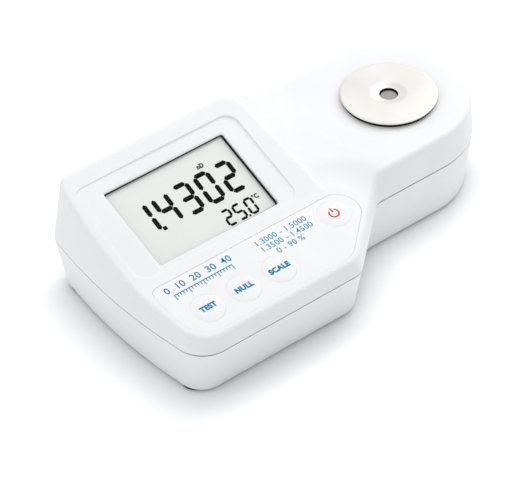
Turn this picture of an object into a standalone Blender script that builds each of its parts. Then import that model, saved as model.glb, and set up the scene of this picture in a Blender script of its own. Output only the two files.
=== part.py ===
"""Handheld digital sugar refractometer, built as separate pieces in metres, +Z up.

The origin is the middle of the case's footprint, on the surface that the feet stand on.
+X runs along the case towards the sample well, +Y away from the user, towards the back.
"""
import math

import bmesh
import bpy
import numpy as np
from mathutils import Matrix, Vector
from mathutils.geometry import delaunay_2d_cdt

# Case, overall
CASE_LENGTH = 0.1920
CASE_WIDTH = 0.1020
CASE_HEIGHT = 0.0580
SPLIT_HEIGHT = 0.0250
FOOT_STAND = 0.0012
WALL = 0.0030
ROOF = 0.0024
FLOOR = 0.0022
GAP = 0.0003
OVERRUN = 0.0040
ARC_SEGMENTS = 7

# Case outline at the split, seen from above
BOW_RADIUS = 0.2530
BOW_ANGLE = math.radians(7.0)
BOW_SEGMENTS = 4
FRONT_CORNER_RADIUS = 0.0130
BACK_CORNER_RADIUS = 0.0110
WAIST_FROM_LEFT = 0.0867
WAIST_ANGLE = math.radians(41.6)
WAIST_CORNER_RADIUS = 0.0090
WAIST_FILLET_RADIUS = 0.0080
WELL_END_RADIUS = 0.03583
WELL_FROM_BACK = 0.00157
WELL_SEGMENTS = 11
BACK_JOG_FROM_LEFT = 0.1080
BACK_JOG_STEPS = 6

# Upper case
UPPER_INSET = 0.0012
EDGE_ROUND = 0.0016
EDGE_SHARE = 0.3
KEYPAD_ANGLE = math.radians(7.8)
KEYPAD_FRONT_HEIGHT = 0.03263
KEYPAD_DEPTH = 0.0383
BLOCK_SIDE_FROM_LEFT = 0.10267
BLOCK_LEAN = 0.2455
BLOCK_CORNER_RADIUS = 0.0161
WELL_TOP_HEIGHT = 0.0408
WELL_RIM_RADIUS = 0.0385
WELL_DISH_RADIUS = 0.0300
WELL_DISH_DEPTH = 0.0009
FLANK_FALL = 0.06
SHELF_HEIGHT = 0.0395
SHELF_FALL_X = 0.15
SHELF_RISE_Y = 0.105
SHELF_END_FROM_LEFT = 0.0880
OUTLINE_STEP = 0.0060
SCOOP_RADIUS = 0.0130
SCOOP_REACH = 0.0138
SCOOP_TOP_HEIGHT = 0.0402
SCOOP_CAVITY_HEIGHT = 0.0370
SCOOP_END_ANGLE = math.radians(88.0)
SHELF_MEETING_FIRST = math.radians(125.0)
SHELF_MEETING_LAST = math.radians(192.0)
RIM_ARC_FIRST = math.radians(110.0)
RIM_ARC_LAST = math.radians(245.0)
SMOOTH_ANGLE = math.radians(30.0)

# Lower case
LOWER_LEFT_INSET = 0.0040
LOWER_FRONT_INSET = 0.0055
LOWER_WAIST_INSET = 0.0040
LOWER_WELL_INSET = 0.0012
LOWER_END_INSET = 0.0040
LOWER_EDGE_ROUND = 0.0020
SEAL_INSET = 0.0007
SEAL_GROOVE_WIDTH = 0.0015
SEAL_GROOVE_DEPTH = 0.0012

# Display
WINDOW_LENGTH = 0.0605
WINDOW_DEPTH = 0.0387
WINDOW_FROM_LEFT = 0.04825
WINDOW_FROM_CREASE = 0.0226
WINDOW_CORNER = 0.0012
PANEL_RIGHT_FROM_LEFT = 0.0883
PANEL_FROM_BACK = 0.0163
PANEL_FROM_LEFT = 0.0060
PANEL_FROM_CREASE = 0.0017
PANEL_CORNER = 0.0060
PANEL_SINK = 0.0004
GASKET_WALL = 0.0009
GASKET_TOP_DEPTH = 0.0003
PANE_DEPTH = 0.0016
PANE_THICKNESS = 0.0010
LCD_DEPTH = 0.0029
LCD_THICKNESS = 0.0028
LCD_MARGIN = 0.0010
CARRIER_SIDE_WALL = 0.0015
CARRIER_END_WALL = 0.0020
STRIP_WIDTH = 0.0025
STRIP_INSET = 0.0010
BOARD_THICKNESS = 0.0016
MAIN_BOARD_DEPTH = 0.0088
MAIN_BOARD_BACK = 0.0298
MAIN_BOARD_FRONT = 0.0285
CHIP_HEIGHT = 0.0016
CHIP_SIZE = 0.0120

# Keypad
EAR_FROM_LEFT = 0.0962
EAR_FROM_FRONT = 0.0257
OVERLAY_EAR_RADIUS = 0.0092
OVERLAY_FROM_LEFT = 0.0062
OVERLAY_FROM_FRONT = 0.0040
OVERLAY_CORNER = 0.0090
OVERLAY_BACK_CORNER = 0.0040
OVERLAY_WAIST_CORNER = 0.0100
OVERLAY_THICKNESS = 0.0006
OVERLAY_SINK = 0.0001
KEY_FROM_FRONT = 0.0152
KEY_FROM_LEFT = 0.0203
KEY_PITCH = 0.0180
KEY_RADIUS = 0.0068
KEY_POWER_SHIFT_SHARE = 0.38
KEY_RISE = 0.0005
KEY_EDGE = 0.0010
KEY_FLANGE = 0.0010
KEY_FLANGE_THICKNESS = 0.0008
KEY_STEM_RADIUS = 0.0016
KEY_TRAVEL = 0.0004
SWITCH_SIZE = 0.0060
SWITCH_HEIGHT = 0.0025
PLUNGER_RADIUS = 0.0014
PLUNGER_HEIGHT = 0.0006
KEYPAD_BOARD_DEPTH = 0.0075
KEYPAD_BOARD_FROM_LEFT = 0.0152
KEYPAD_BOARD_STEP_FROM_LEFT = 0.0690
KEYPAD_BOARD_RIGHT_FROM_LEFT = 0.1005
KEYPAD_BOARD_BACK_FROM_FRONT = 0.0317
KEYPAD_BOARD_FROM_FRONT = 0.0060
KEYPAD_BOARD_ARM_FROM_FRONT = 0.0185

# Sample well and optics
RING_RADIUS = 0.0205
RING_HEIGHT = 0.04274
RING_THICKNESS = 0.0008
BOWL_RADIUS = 0.0075
BOWL_DEPTH = 0.0014
WELL_HOLE_RADIUS = 0.0040
WELL_WEB = 0.0004
WELL_NECK_RADIUS = 0.0120
WELL_BORE_RADIUS = 0.0074
WELL_NECK_LENGTH = 0.0092
WELL_GASKET_RADIUS = 0.0198
NUT_RADIUS = 0.0160
NUT_THICKNESS = 0.0034
PRISM_FACE_RADIUS = 0.0036
PRISM_LENGTH = 0.0100
PRISM_HEIGHT = 0.0112
PRISM_CHAMFER = 0.0030
PRISM_SEAL_THICKNESS = 0.0006
OPTICS_LENGTH = 0.0400
OPTICS_WIDTH = 0.0250
OPTICS_HEIGHT = 0.0190
OPTICS_WALL = 0.0040
LENS_OFFSET = 0.0100
LENS_CROWN = 0.0016
LENS_RIM = 0.0016
LAMP_RADIUS = 0.0025
LAMP_LENGTH = 0.0070
SENSOR_LENGTH = 0.0140
SENSOR_WIDTH = 0.0080
SENSOR_THICKNESS = 0.0025
THERMISTOR_RADIUS = 0.0014
THERMISTOR_LENGTH = 0.0050
THERMISTOR_OFFSET = 0.0160

# Battery
COVER_FROM_LEFT = 0.0500
COVER_Y = 0.0040
BATTERY_LENGTH = 0.0464
BATTERY_WIDTH = 0.0265
BATTERY_THICKNESS = 0.0175
BATTERY_CORNER = 0.0022
TERMINAL_LENGTH = 0.0021
TERMINAL_RADIUS = 0.0036
TERMINAL_SPACING = 0.0127
SNAP_THICKNESS = 0.0032
SNAP_WIDTH = 0.0130
BATTERY_HOLE_RADIUS = 0.0282
COVER_LIP = 0.0018
COVER_FLANGE_THICKNESS = 0.0014
LIP_THICKNESS = 0.0012
COLLAR_WIDTH = 0.0013
LUG_ANGLE = math.radians(15.0)
LUG_THICKNESS = 0.0010
LUG_REACH = 0.0012
LUG_FREE_SEGMENTS = 16
COVER_GROOVE_DEPTH = 0.0007
COVER_NECK_WALL = 0.0018
COVER_TURN = math.radians(-60.0)
COIN_SLOT_LENGTH = 0.0220
COIN_SLOT_WIDTH = 0.0026
COIN_SLOT_DEPTH = 0.0007
CUP_WALL = 0.0015
CUP_RIB = 0.0015
LEAD_RADIUS = 0.0007
LEAD_SPACING = 0.0040

# Fasteners and feet
FOOT_RADIUS = 0.0055
FOOT_POCKET = 0.0008
PILLAR_RADIUS = 0.0035
SCREW_HEAD_RADIUS = 0.0027
SCREW_HEAD_HEIGHT = 0.0022
SCREW_SHANK_RADIUS = 0.0014
SCREW_SEAT_HEIGHT = 0.0140
SCREW_GRIP = 0.0060
BOSS_RADIUS = 0.0028
SMALL_HEAD_RADIUS = 0.0020
SMALL_HEAD_HEIGHT = 0.0013
SMALL_SHANK_RADIUS = 0.0009
RIBBON_THICKNESS = 0.0004
RIBBON_WIDTH = 0.0050

# Places of the case screws and the feet, from the left end, the front, the back and the well
LEFT_SCREW_FROM_LEFT = 0.0117
LEFT_SCREW_FROM_FRONT = 0.0290
LEFT_SCREW_FROM_BACK = 0.0270
BACK_SCREW_FROM_LEFT = 0.0892
BACK_SCREW_FROM_BACK = 0.0150
WAIST_SCREW_FROM_LEFT = 0.0840
WAIST_SCREW_FROM_FRONT = 0.0135
NECK_SCREW_FROM_WELL = 0.0262
END_SCREW_FROM_WELL = 0.0258
FOOT_FROM_LEFT = 0.0122
FOOT_FROM_FRONT = 0.0145
FOOT_FROM_BACK = 0.0140
RIGHT_FOOT_FROM_LEFT = 0.0700
RIGHT_FOOT_FROM_FRONT = 0.0125
FOOT_FROM_WELL_X = 0.0198
FOOT_FROM_WELL_Y = 0.0164

# Derived levels and places
HALF_LENGTH = CASE_LENGTH / 2
HALF_WIDTH = CASE_WIDTH / 2
UPPER_BOTTOM = SPLIT_HEIGHT + GAP / 2
LOWER_TOP = SPLIT_HEIGHT - GAP / 2
WELL_X = HALF_LENGTH - WELL_END_RADIUS
WELL_Y = HALF_WIDTH - WELL_FROM_BACK - WELL_END_RADIUS
WELL_FRONT_Y = WELL_Y - WELL_END_RADIUS
WELL_BACK_Y = WELL_Y + WELL_END_RADIUS
WELL_FLOOR_HEIGHT = WELL_TOP_HEIGHT - WELL_DISH_DEPTH
FLOOR_HEIGHT = FOOT_STAND + FLOOR
WAIST_CORNER_X = WAIST_FROM_LEFT - HALF_LENGTH
BACK_JOG_X = BACK_JOG_FROM_LEFT - HALF_LENGTH
BLOCK_SIDE_X = BLOCK_SIDE_FROM_LEFT - HALF_LENGTH
SHELF_END_X = SHELF_END_FROM_LEFT - HALF_LENGTH
CREASE_Y = KEYPAD_DEPTH - HALF_WIDTH
DISPLAY_BACK_Y = HALF_WIDTH - BLOCK_LEAN * (CASE_HEIGHT - SPLIT_HEIGHT)
KEYPAD_SLOPE = math.tan(KEYPAD_ANGLE)
CREASE_HEIGHT = KEYPAD_FRONT_HEIGHT + KEYPAD_DEPTH * KEYPAD_SLOPE
DISPLAY_SLOPE = (CASE_HEIGHT - CREASE_HEIGHT) / (DISPLAY_BACK_Y - CREASE_Y)
DISPLAY_ANGLE = math.atan(DISPLAY_SLOPE)
WINDOW_CENTRE_X = WINDOW_FROM_LEFT - HALF_LENGTH
WINDOW_CENTRE_Y = CREASE_Y + WINDOW_FROM_CREASE
PANEL_LEFT_X = PANEL_FROM_LEFT - HALF_LENGTH
PANEL_RIGHT_X = PANEL_RIGHT_FROM_LEFT - HALF_LENGTH
PANEL_BACK_Y = HALF_WIDTH - PANEL_FROM_BACK
PANEL_FRONT_Y = CREASE_Y + PANEL_FROM_CREASE
EAR_X = EAR_FROM_LEFT - HALF_LENGTH
EAR_Y = EAR_FROM_FRONT - HALF_WIDTH
OVERLAY_LEFT_X = OVERLAY_FROM_LEFT - HALF_LENGTH
OVERLAY_FRONT_Y = OVERLAY_FROM_FRONT - HALF_WIDTH
KEY_FIRST_X = KEY_FROM_LEFT - HALF_LENGTH
KEY_Y = KEY_FROM_FRONT - HALF_WIDTH
KEYPAD_BOARD_LEFT_X = KEYPAD_BOARD_FROM_LEFT - HALF_LENGTH
KEYPAD_BOARD_STEP_X = KEYPAD_BOARD_STEP_FROM_LEFT - HALF_LENGTH
KEYPAD_BOARD_RIGHT_X = KEYPAD_BOARD_RIGHT_FROM_LEFT - HALF_LENGTH
KEYPAD_BOARD_BACK_Y = KEYPAD_BOARD_BACK_FROM_FRONT - HALF_WIDTH
KEYPAD_BOARD_FRONT_Y = KEYPAD_BOARD_FROM_FRONT - HALF_WIDTH
KEYPAD_BOARD_ARM_Y = KEYPAD_BOARD_ARM_FROM_FRONT - HALF_WIDTH
COVER_X = COVER_FROM_LEFT - HALF_LENGTH
CASE_SCREW_PLACES = [(LEFT_SCREW_FROM_LEFT - HALF_LENGTH, LEFT_SCREW_FROM_FRONT - HALF_WIDTH),
                     (LEFT_SCREW_FROM_LEFT - HALF_LENGTH, HALF_WIDTH - LEFT_SCREW_FROM_BACK),
                     (BACK_SCREW_FROM_LEFT - HALF_LENGTH, HALF_WIDTH - BACK_SCREW_FROM_BACK),
                     (WAIST_SCREW_FROM_LEFT - HALF_LENGTH, WAIST_SCREW_FROM_FRONT - HALF_WIDTH),
                     (WELL_X - NECK_SCREW_FROM_WELL, WELL_Y - NECK_SCREW_FROM_WELL),
                     (WELL_X + END_SCREW_FROM_WELL, WELL_Y)]
FOOT_PLACES = {"foot_front_left": (FOOT_FROM_LEFT - HALF_LENGTH, FOOT_FROM_FRONT - HALF_WIDTH),
               "foot_back_left": (FOOT_FROM_LEFT - HALF_LENGTH, HALF_WIDTH - FOOT_FROM_BACK),
               "foot_front_right": (RIGHT_FOOT_FROM_LEFT - HALF_LENGTH, RIGHT_FOOT_FROM_FRONT - HALF_WIDTH),
               "foot_well": (WELL_X + FOOT_FROM_WELL_X, WELL_Y + FOOT_FROM_WELL_Y)}


def keypad_height(y):
    """Height of the keypad's sloping face at a distance y behind the middle."""
    return KEYPAD_FRONT_HEIGHT + (y + HALF_WIDTH) * KEYPAD_SLOPE


def display_height(y):
    """Height of the display's sloping face at a distance y behind the middle."""
    return CREASE_HEIGHT + (y - CREASE_Y) * DISPLAY_SLOPE


def block_wall_height(x, y):
    """Height of the display block's leaning side and back walls above a point in plan."""
    across = BLOCK_SIDE_X - x
    behind = HALF_WIDTH - y
    if across < BLOCK_CORNER_RADIUS and behind < BLOCK_CORNER_RADIUS:
        corner = math.hypot(BLOCK_CORNER_RADIUS - across, BLOCK_CORNER_RADIUS - behind)
        inside = BLOCK_CORNER_RADIUS - corner
    else:
        inside = min(across, behind)
    return SPLIT_HEIGHT + inside / BLOCK_LEAN


def well_height(x, y):
    """Height of the well's top: a shallow dish, a level rim and a flank that falls away."""
    radius = math.hypot(x - WELL_X, y - WELL_Y)
    dish = min(1.0, max(0.0, (WELL_DISH_RADIUS - radius) / (WELL_DISH_RADIUS - RING_RADIUS)))
    return WELL_TOP_HEIGHT - WELL_DISH_DEPTH * dish - FLANK_FALL * max(0.0, radius - WELL_RIM_RADIUS)


def shelf_height(x, y):
    """Height of the shelf beside the display block, which rises to the back and ends inside the block."""
    end_wall = SPLIT_HEIGHT + (x - SHELF_END_X) / BLOCK_LEAN
    return min(SHELF_HEIGHT - SHELF_FALL_X * (x - BLOCK_SIDE_X) + SHELF_RISE_Y * y, end_wall)


def scoop_height(x, y):
    """Height of the hollow round the keypad's ear, which rises as the square of the distance."""
    reach = math.hypot(x - EAR_X, y - EAR_Y)
    foot = keypad_height(EAR_Y + (y - EAR_Y) * SCOOP_RADIUS / reach)
    share = (reach - SCOOP_RADIUS) / SCOOP_REACH
    return foot + (SCOOP_TOP_HEIGHT - foot) * share * share


def top_height(x, y):
    """Height of the upper case's outer top above a point in plan."""
    block = min(display_height(y), block_wall_height(x, y))
    reach = math.hypot(x - EAR_X, y - EAR_Y)
    waist_side = (x - EAR_X) * math.cos(WAIST_ANGLE) + (y - EAR_Y) * math.sin(WAIST_ANGLE)
    if reach <= SCOOP_RADIUS or waist_side < 0:
        return max(block, keypad_height(y))
    floor = well_height(x, y)
    if math.hypot(x - WELL_X, y - WELL_Y) > WELL_DISH_RADIUS:
        floor = max(floor, shelf_height(x, y))
    hollow = min(floor, scoop_height(x, y))
    return max(block, hollow)


# Outlines

def rounded_polygon(corners):
    """Points round a polygon whose corners (x, y, radius, segments) are arcs, none of them repeated."""
    points = []
    count = len(corners)
    for index, (x, y, radius, segments) in enumerate(corners):
        here = Vector((x, y))
        if segments == 0:
            points.append(here)
            continue
        before = (Vector(corners[index - 1][:2]) - here).normalized()
        after = (Vector(corners[(index + 1) % count][:2]) - here).normalized()
        half = before.angle(after) / 2
        middle = here + (before + after).normalized() * (radius / math.sin(half))
        start = here + before * (radius / math.tan(half)) - middle
        turn = (math.pi - 2 * half) * (1 if before.cross(after) < 0 else -1)
        for step in range(segments + 1):
            arm = start.copy()
            arm.rotate(Matrix.Rotation(turn * step / segments, 2))
            points.append(middle + arm)
    return [here for here, there in zip(points, points[1:] + points[:1]) if (there - here).length > GAP / 10]


def rounded_rectangle(length, depth, radius, segments=ARC_SEGMENTS):
    """Points round a rectangle centred on the origin."""
    x, y = length / 2, depth / 2
    return rounded_polygon([(-x, -y, radius, segments), (x, -y, radius, segments),
                            (x, y, radius, segments), (-x, y, radius, segments)])


def circle(radius, segments=48):
    """Points round a circle centred on the origin."""
    return [Vector((radius * math.cos(math.tau * i / segments), radius * math.sin(math.tau * i / segments)))
            for i in range(segments)]


def waist_point(inset, level):
    """Point of the diagonal waist wall, moved in by an inset, at a given y."""
    along_x, along_y = math.cos(WAIST_ANGLE), math.sin(WAIST_ANGLE)
    start = Vector((WAIST_CORNER_X - along_y * inset, -HALF_WIDTH + along_x * inset))
    return start.x + (level - start.y) * along_x / along_y


def case_outline(left=0.0, front=0.0, waist=0.0, well=0.0, end=0.0, back=0.0, jog=0.0):
    """Case outline with each wall moved in by its own inset, always with the same number of points.

    Behind the display block the back wall is moved in by a further jog, round the block's corner.
    """
    bow_x = -HALF_LENGTH + left - BOW_RADIUS * (1 / math.cos(BOW_ANGLE) - 1)
    bow_slope = math.tan(BOW_ANGLE)
    front_y = -HALF_WIDTH + front
    well_y = WELL_FRONT_Y + well
    back_y = HALF_WIDTH - back
    well_back_y = WELL_BACK_Y - end
    end_x = HALF_LENGTH - end
    end_radius = (well_back_y - well_y) / 2
    jog_end_x = BLOCK_SIDE_X - BLOCK_CORNER_RADIUS
    shares = [step / BACK_JOG_STEPS for step in range(BACK_JOG_STEPS + 1)]
    jog_points = [(BACK_JOG_X + (jog_end_x - BACK_JOG_X) * share,
                   back_y - jog * math.sqrt(1 - (1 - share) ** 2), 0.0, 0) for share in shares]
    return rounded_polygon([
        (bow_x - front_y * bow_slope, front_y, FRONT_CORNER_RADIUS - front / 2, ARC_SEGMENTS),
        (waist_point(waist, front_y), front_y, WAIST_CORNER_RADIUS, ARC_SEGMENTS),
        (waist_point(waist, well_y), well_y, WAIST_FILLET_RADIUS, ARC_SEGMENTS),
        (end_x, well_y, end_radius, WELL_SEGMENTS),
        (end_x, well_back_y, end_radius, WELL_SEGMENTS),
        *jog_points,
        (bow_x + (back_y - jog) * bow_slope, back_y - jog, BACK_CORNER_RADIUS - back / 2, ARC_SEGMENTS),
        (bow_x, 0.0, BOW_RADIUS, BOW_SEGMENTS)])


def even_outline(inset):
    """Case outline at the split, moved in by the same inset all round."""
    return case_outline(inset, inset, inset, inset, inset, inset)


def lower_outline(share, extra=0.0):
    """Outline of the lower case: a share of the way in to the base, and an extra inset."""
    return case_outline(LOWER_LEFT_INSET * share + extra, LOWER_FRONT_INSET * share + extra,
                        LOWER_WAIST_INSET * share + extra, LOWER_WELL_INSET * share + extra,
                        LOWER_END_INSET * share + extra, LOWER_END_INSET * share + extra)


# Mesh building

def make_material(name, colour, roughness, metallic=0.0):
    """Material with a Principled shader."""
    material = bpy.data.materials.new(name)
    material.use_nodes = True
    shader = material.node_tree.nodes["Principled BSDF"]
    shader.inputs["Base Color"].default_value = (*colour, 1.0)
    shader.inputs["Roughness"].default_value = roughness
    shader.inputs["Metallic"].default_value = metallic
    return material


def new_object(name, mesh, material=None):
    """Object that holds a mesh, shaded smooth except at its edges."""
    mesh.shade_smooth()
    mesh.set_sharp_from_angle(angle=SMOOTH_ANGLE)
    item = bpy.data.objects.new(name, mesh)
    bpy.context.scene.collection.objects.link(item)
    if material:
        mesh.materials.append(material)
    return item


def mesh_of(name, points, faces):
    """Mesh from points and faces."""
    mesh = bpy.data.meshes.new(name)
    mesh.from_pydata([tuple(point) for point in points], [], faces)
    mesh.validate()
    return mesh


def ring_at(outline, height):
    """Outline lifted to a height, or to the height that a function gives."""
    if callable(height):
        return [Vector((p.x, p.y, height(p.x, p.y))) for p in outline]
    return [Vector((p.x, p.y, height)) for p in outline]


def loft_mesh(name, rings):
    """Closed mesh through rings of equal count, from the lowest to the highest."""
    count = len(rings[0])
    points = [point for ring in rings for point in ring]
    faces = [tuple(reversed(range(count)))]
    for level in range(len(rings) - 1):
        low, high = level * count, (level + 1) * count
        for i in range(count):
            j = (i + 1) % count
            faces.append((low + i, low + j, high + j, high + i))
    faces.append(tuple(range(len(points) - count, len(points))))
    return mesh_of(name, points, faces)


def loft(name, rings, material=None):
    """Object lofted through rings."""
    return new_object(name, loft_mesh(name, rings), material)


def prism(name, outline, low, high, material=None):
    """Straight prism on an outline between two heights."""
    return loft(name, [ring_at(outline, low), ring_at(outline, high)], material)


def turned(name, profile, material=None, centre=(0.0, 0.0), segments=48):
    """Solid turned about an upright axis from (radius, height) points.

    The profile runs anticlockwise round the section. A first and last radius of zero close on the axis.
    """
    on_axis = profile[0][0] == 0
    points, rows = [], []
    for radius, height in profile:
        if radius == 0:
            rows.append([len(points)] * segments)
            points.append((centre[0], centre[1], height))
            continue
        rows.append(list(range(len(points), len(points) + segments)))
        points += [(centre[0] + p.x, centre[1] + p.y, height) for p in circle(radius, segments)]
    faces = []
    pairs = list(zip(rows, rows[1:])) if on_axis else list(zip(rows, rows[1:] + rows[:1]))
    for low, high in pairs:
        for i in range(segments):
            j = (i + 1) % segments
            face = [low[i], low[j], high[j], high[i]]
            faces.append(tuple(dict.fromkeys(face)))
    return new_object(name, mesh_of(name, points, faces), material)


def tube_wall(name, inner, outer, low, high, material=None, centre=(0.0, 0.0), segments=48):
    """Upright round tube."""
    profile = [(inner, low), (outer, low), (outer, high), (inner, high)]
    return turned(name, profile, material, centre, segments)


def post(name, radius, low, high, material=None, centre=(0.0, 0.0), segments=20):
    """Upright round post."""
    return turned(name, [(0, low), (radius, low), (radius, high), (0, high)], material, centre, segments)


def box(name, low, high, material=None):
    """Upright box between two corners."""
    outline = [Vector((low[0], low[1])), Vector((high[0], low[1])), Vector((high[0], high[1])),
               Vector((low[0], high[1]))]
    return prism(name, outline, low[2], high[2], material)


def combine(target, others, operation):
    """Boolean of a target with other objects, which are used up."""
    for other in others:
        modifier = target.modifiers.new(operation.title(), "BOOLEAN")
        modifier.operation = operation
        modifier.solver = "EXACT"
        modifier.object = other
        settle(target)
        discard(other)
    return target


def settle(item):
    """Apply an object's modifiers to its mesh."""
    graph = bpy.context.evaluated_depsgraph_get()
    mesh = bpy.data.meshes.new_from_object(item.evaluated_get(graph))
    old = item.data
    item.modifiers.clear()
    item.data = mesh
    bpy.data.meshes.remove(old)


def discard(item):
    """Remove an object and its mesh."""
    mesh = item.data
    bpy.data.objects.remove(item)
    bpy.data.meshes.remove(mesh)


def place(item, matrix):
    """Carry an object's mesh to a place."""
    item.data.transform(matrix)
    return item


def display_place(x=WINDOW_CENTRE_X, y=WINDOW_CENTRE_Y):
    """Matrix that carries the level plane to the display's sloping face, over a point in plan."""
    return Matrix.Translation((x, y, display_height(y))) @ Matrix.Rotation(DISPLAY_ANGLE, 4, "X")


def keypad_place(x, y):
    """Matrix that carries the level plane to the keypad's sloping face, over a point in plan."""
    return Matrix.Translation((x, y, keypad_height(y))) @ Matrix.Rotation(KEYPAD_ANGLE, 4, "X")


def keypad_plan(outline):
    """Outline in plan carried into the keypad's own level plane, whose origin is over the origin."""
    return [Vector((p.x, p.y / math.cos(KEYPAD_ANGLE))) for p in outline]


def frame(name, outer, inner, low, high, material=None):
    """Level frame between an outer and an inner outline of equal count."""
    count = len(outer)
    rings = [ring_at(outer, low), ring_at(outer, high), ring_at(inner, high), ring_at(inner, low)]
    points = [point for ring in rings for point in ring]
    faces = []
    for level in range(len(rings)):
        here, there = level * count, (level + 1) % len(rings) * count
        for i in range(count):
            j = (i + 1) % count
            faces.append((here + i, here + j, there + j, there + i))
    return new_object(name, mesh_of(name, points, faces), material)


def strip_along(name, route, width, thickness, material=None):
    """Flat ribbon whose middle follows points in an XZ or YZ plane, its width level and square to them."""
    points = [Vector(point) for point in route]
    side = (points[-1] - points[0]).cross(Vector((0, 0, 1))).normalized() * (width / 2)
    rings = []
    for index, point in enumerate(points):
        ahead = points[min(index + 1, len(points) - 1)] - points[max(index - 1, 0)]
        up = side.cross(ahead).normalized() * (thickness / 2)
        rings.append([point - side - up, point + side - up, point + side + up, point - side + up])
    item = loft(name, rings, material)
    return face_out(item)


def face_out(item):
    """Turn a closed mesh's faces outwards."""
    build = bmesh.new()
    build.from_mesh(item.data)
    bmesh.ops.recalc_face_normals(build, faces=build.faces)
    build.to_mesh(item.data)
    build.free()
    return item


def smooth_route(corners, steps=8):
    """Points of one smooth curve through a few route points."""
    points = [Vector(corner) for corner in corners]
    padded = [points[0] * 2 - points[1], *points, points[-1] * 2 - points[-2]]
    route = []
    for a, b, c, d in zip(padded, padded[1:], padded[2:], padded[3:]):
        for step in range(steps):
            t = step / steps
            route.append(0.5 * (2 * b + (c - a) * t + (2 * a - 5 * b + 4 * c - d) * t ** 2
                                + (3 * b - 3 * c + d - a) * t ** 3))
    return [*route, points[-1]]


def wire(name, corners, radius, material=None):
    """Round wire along a smooth route."""
    curve = bpy.data.curves.new(name, "CURVE")
    curve.dimensions = "3D"
    curve.bevel_depth = radius
    curve.bevel_resolution = 1
    curve.use_fill_caps = True
    spline = curve.splines.new("POLY")
    route = smooth_route(corners)
    spline.points.add(len(route) - 1)
    for point, place_at in zip(spline.points, route):
        point.co = (*place_at, 1)
    item = bpy.data.objects.new(name, curve)
    bpy.context.scene.collection.objects.link(item)
    graph = bpy.context.evaluated_depsgraph_get()
    mesh = bpy.data.meshes.new_from_object(item.evaluated_get(graph))
    bpy.data.objects.remove(item)
    bpy.data.curves.remove(curve)
    return new_object(name, mesh, material)


# Upper case

def divided(outline, counts):
    """Outline with each side cut into a given number of equal steps."""
    return [here.lerp(there, step / count)
            for here, there, count in zip(outline, outline[1:] + outline[:1], counts)
            for step in range(count)]


def step_counts():
    """Number of steps that cut each side of the case outline short enough to follow its top."""
    outline = case_outline()
    return [max(1, math.ceil((there - here).length / OUTLINE_STEP))
            for here, there in zip(outline, outline[1:] + outline[:1])]


def edge_distance(point, outline):
    """Distance from a point in plan to an outline, negative outside it."""
    start = np.array(outline)
    side = np.roll(start, -1, axis=0) - start
    offset = np.array(point) - start
    share = np.clip((offset * side).sum(axis=1) / (side * side).sum(axis=1), 0.0, 1.0)
    distance = np.hypot(*(offset - side * share[:, None]).T).min()
    above = start[:, 1] > point[1]
    crosses = above != np.roll(above, -1)
    reach = side[:, 0] * (point[1] - start[:, 1]) / np.where(side[:, 1] == 0, 1.0, side[:, 1]) + start[:, 0]
    return distance if np.count_nonzero(crosses & (point[0] < reach)) % 2 else -distance


def block_edge(height_at, y_start, segments=8):
    """Line where the block's leaning walls meet a top surface, from its front right round the back."""
    centre_y = HALF_WIDTH - BLOCK_CORNER_RADIUS
    line = []
    for step in range(segments + 1):
        y = y_start + (centre_y - y_start) * step / segments
        x = BLOCK_SIDE_X
        for _ in range(6):
            x = BLOCK_SIDE_X - BLOCK_LEAN * (height_at(x, y) - SPLIT_HEIGHT)
        line.append((x, y))
    side_x = BLOCK_SIDE_X - BLOCK_CORNER_RADIUS
    for step in range(segments + 1):
        angle = math.pi / 2 * step / segments
        x, y = side_x, centre_y
        for _ in range(6):
            radius = BLOCK_CORNER_RADIUS - BLOCK_LEAN * (height_at(x, y) - SPLIT_HEIGHT)
            x, y = side_x + radius * math.cos(angle), centre_y + radius * math.sin(angle)
        line.append((x, y))
    return line


def meeting_line(centre, low, high, first, last, difference, segments=16):
    """Line round a centre where two surfaces meet, found by halving between two radii."""
    line = []
    for step in range(segments + 1):
        angle = first + (last - first) * step / segments
        near, far = low, high
        for _ in range(20):
            middle = (near + far) / 2
            x, y = centre[0] + middle * math.cos(angle), centre[1] + middle * math.sin(angle)
            if difference(x, y) < 0:
                near = middle
            else:
                far = middle
        line.append((centre[0] + near * math.cos(angle), centre[1] + near * math.sin(angle)))
    return line


def arc_line(centre, radius, first, last, segments=16):
    """Points of an arc in plan."""
    angles = [first + (last - first) * step / segments for step in range(segments + 1)]
    return [(centre[0] + radius * math.cos(a), centre[1] + radius * math.sin(a)) for a in angles]


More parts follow.
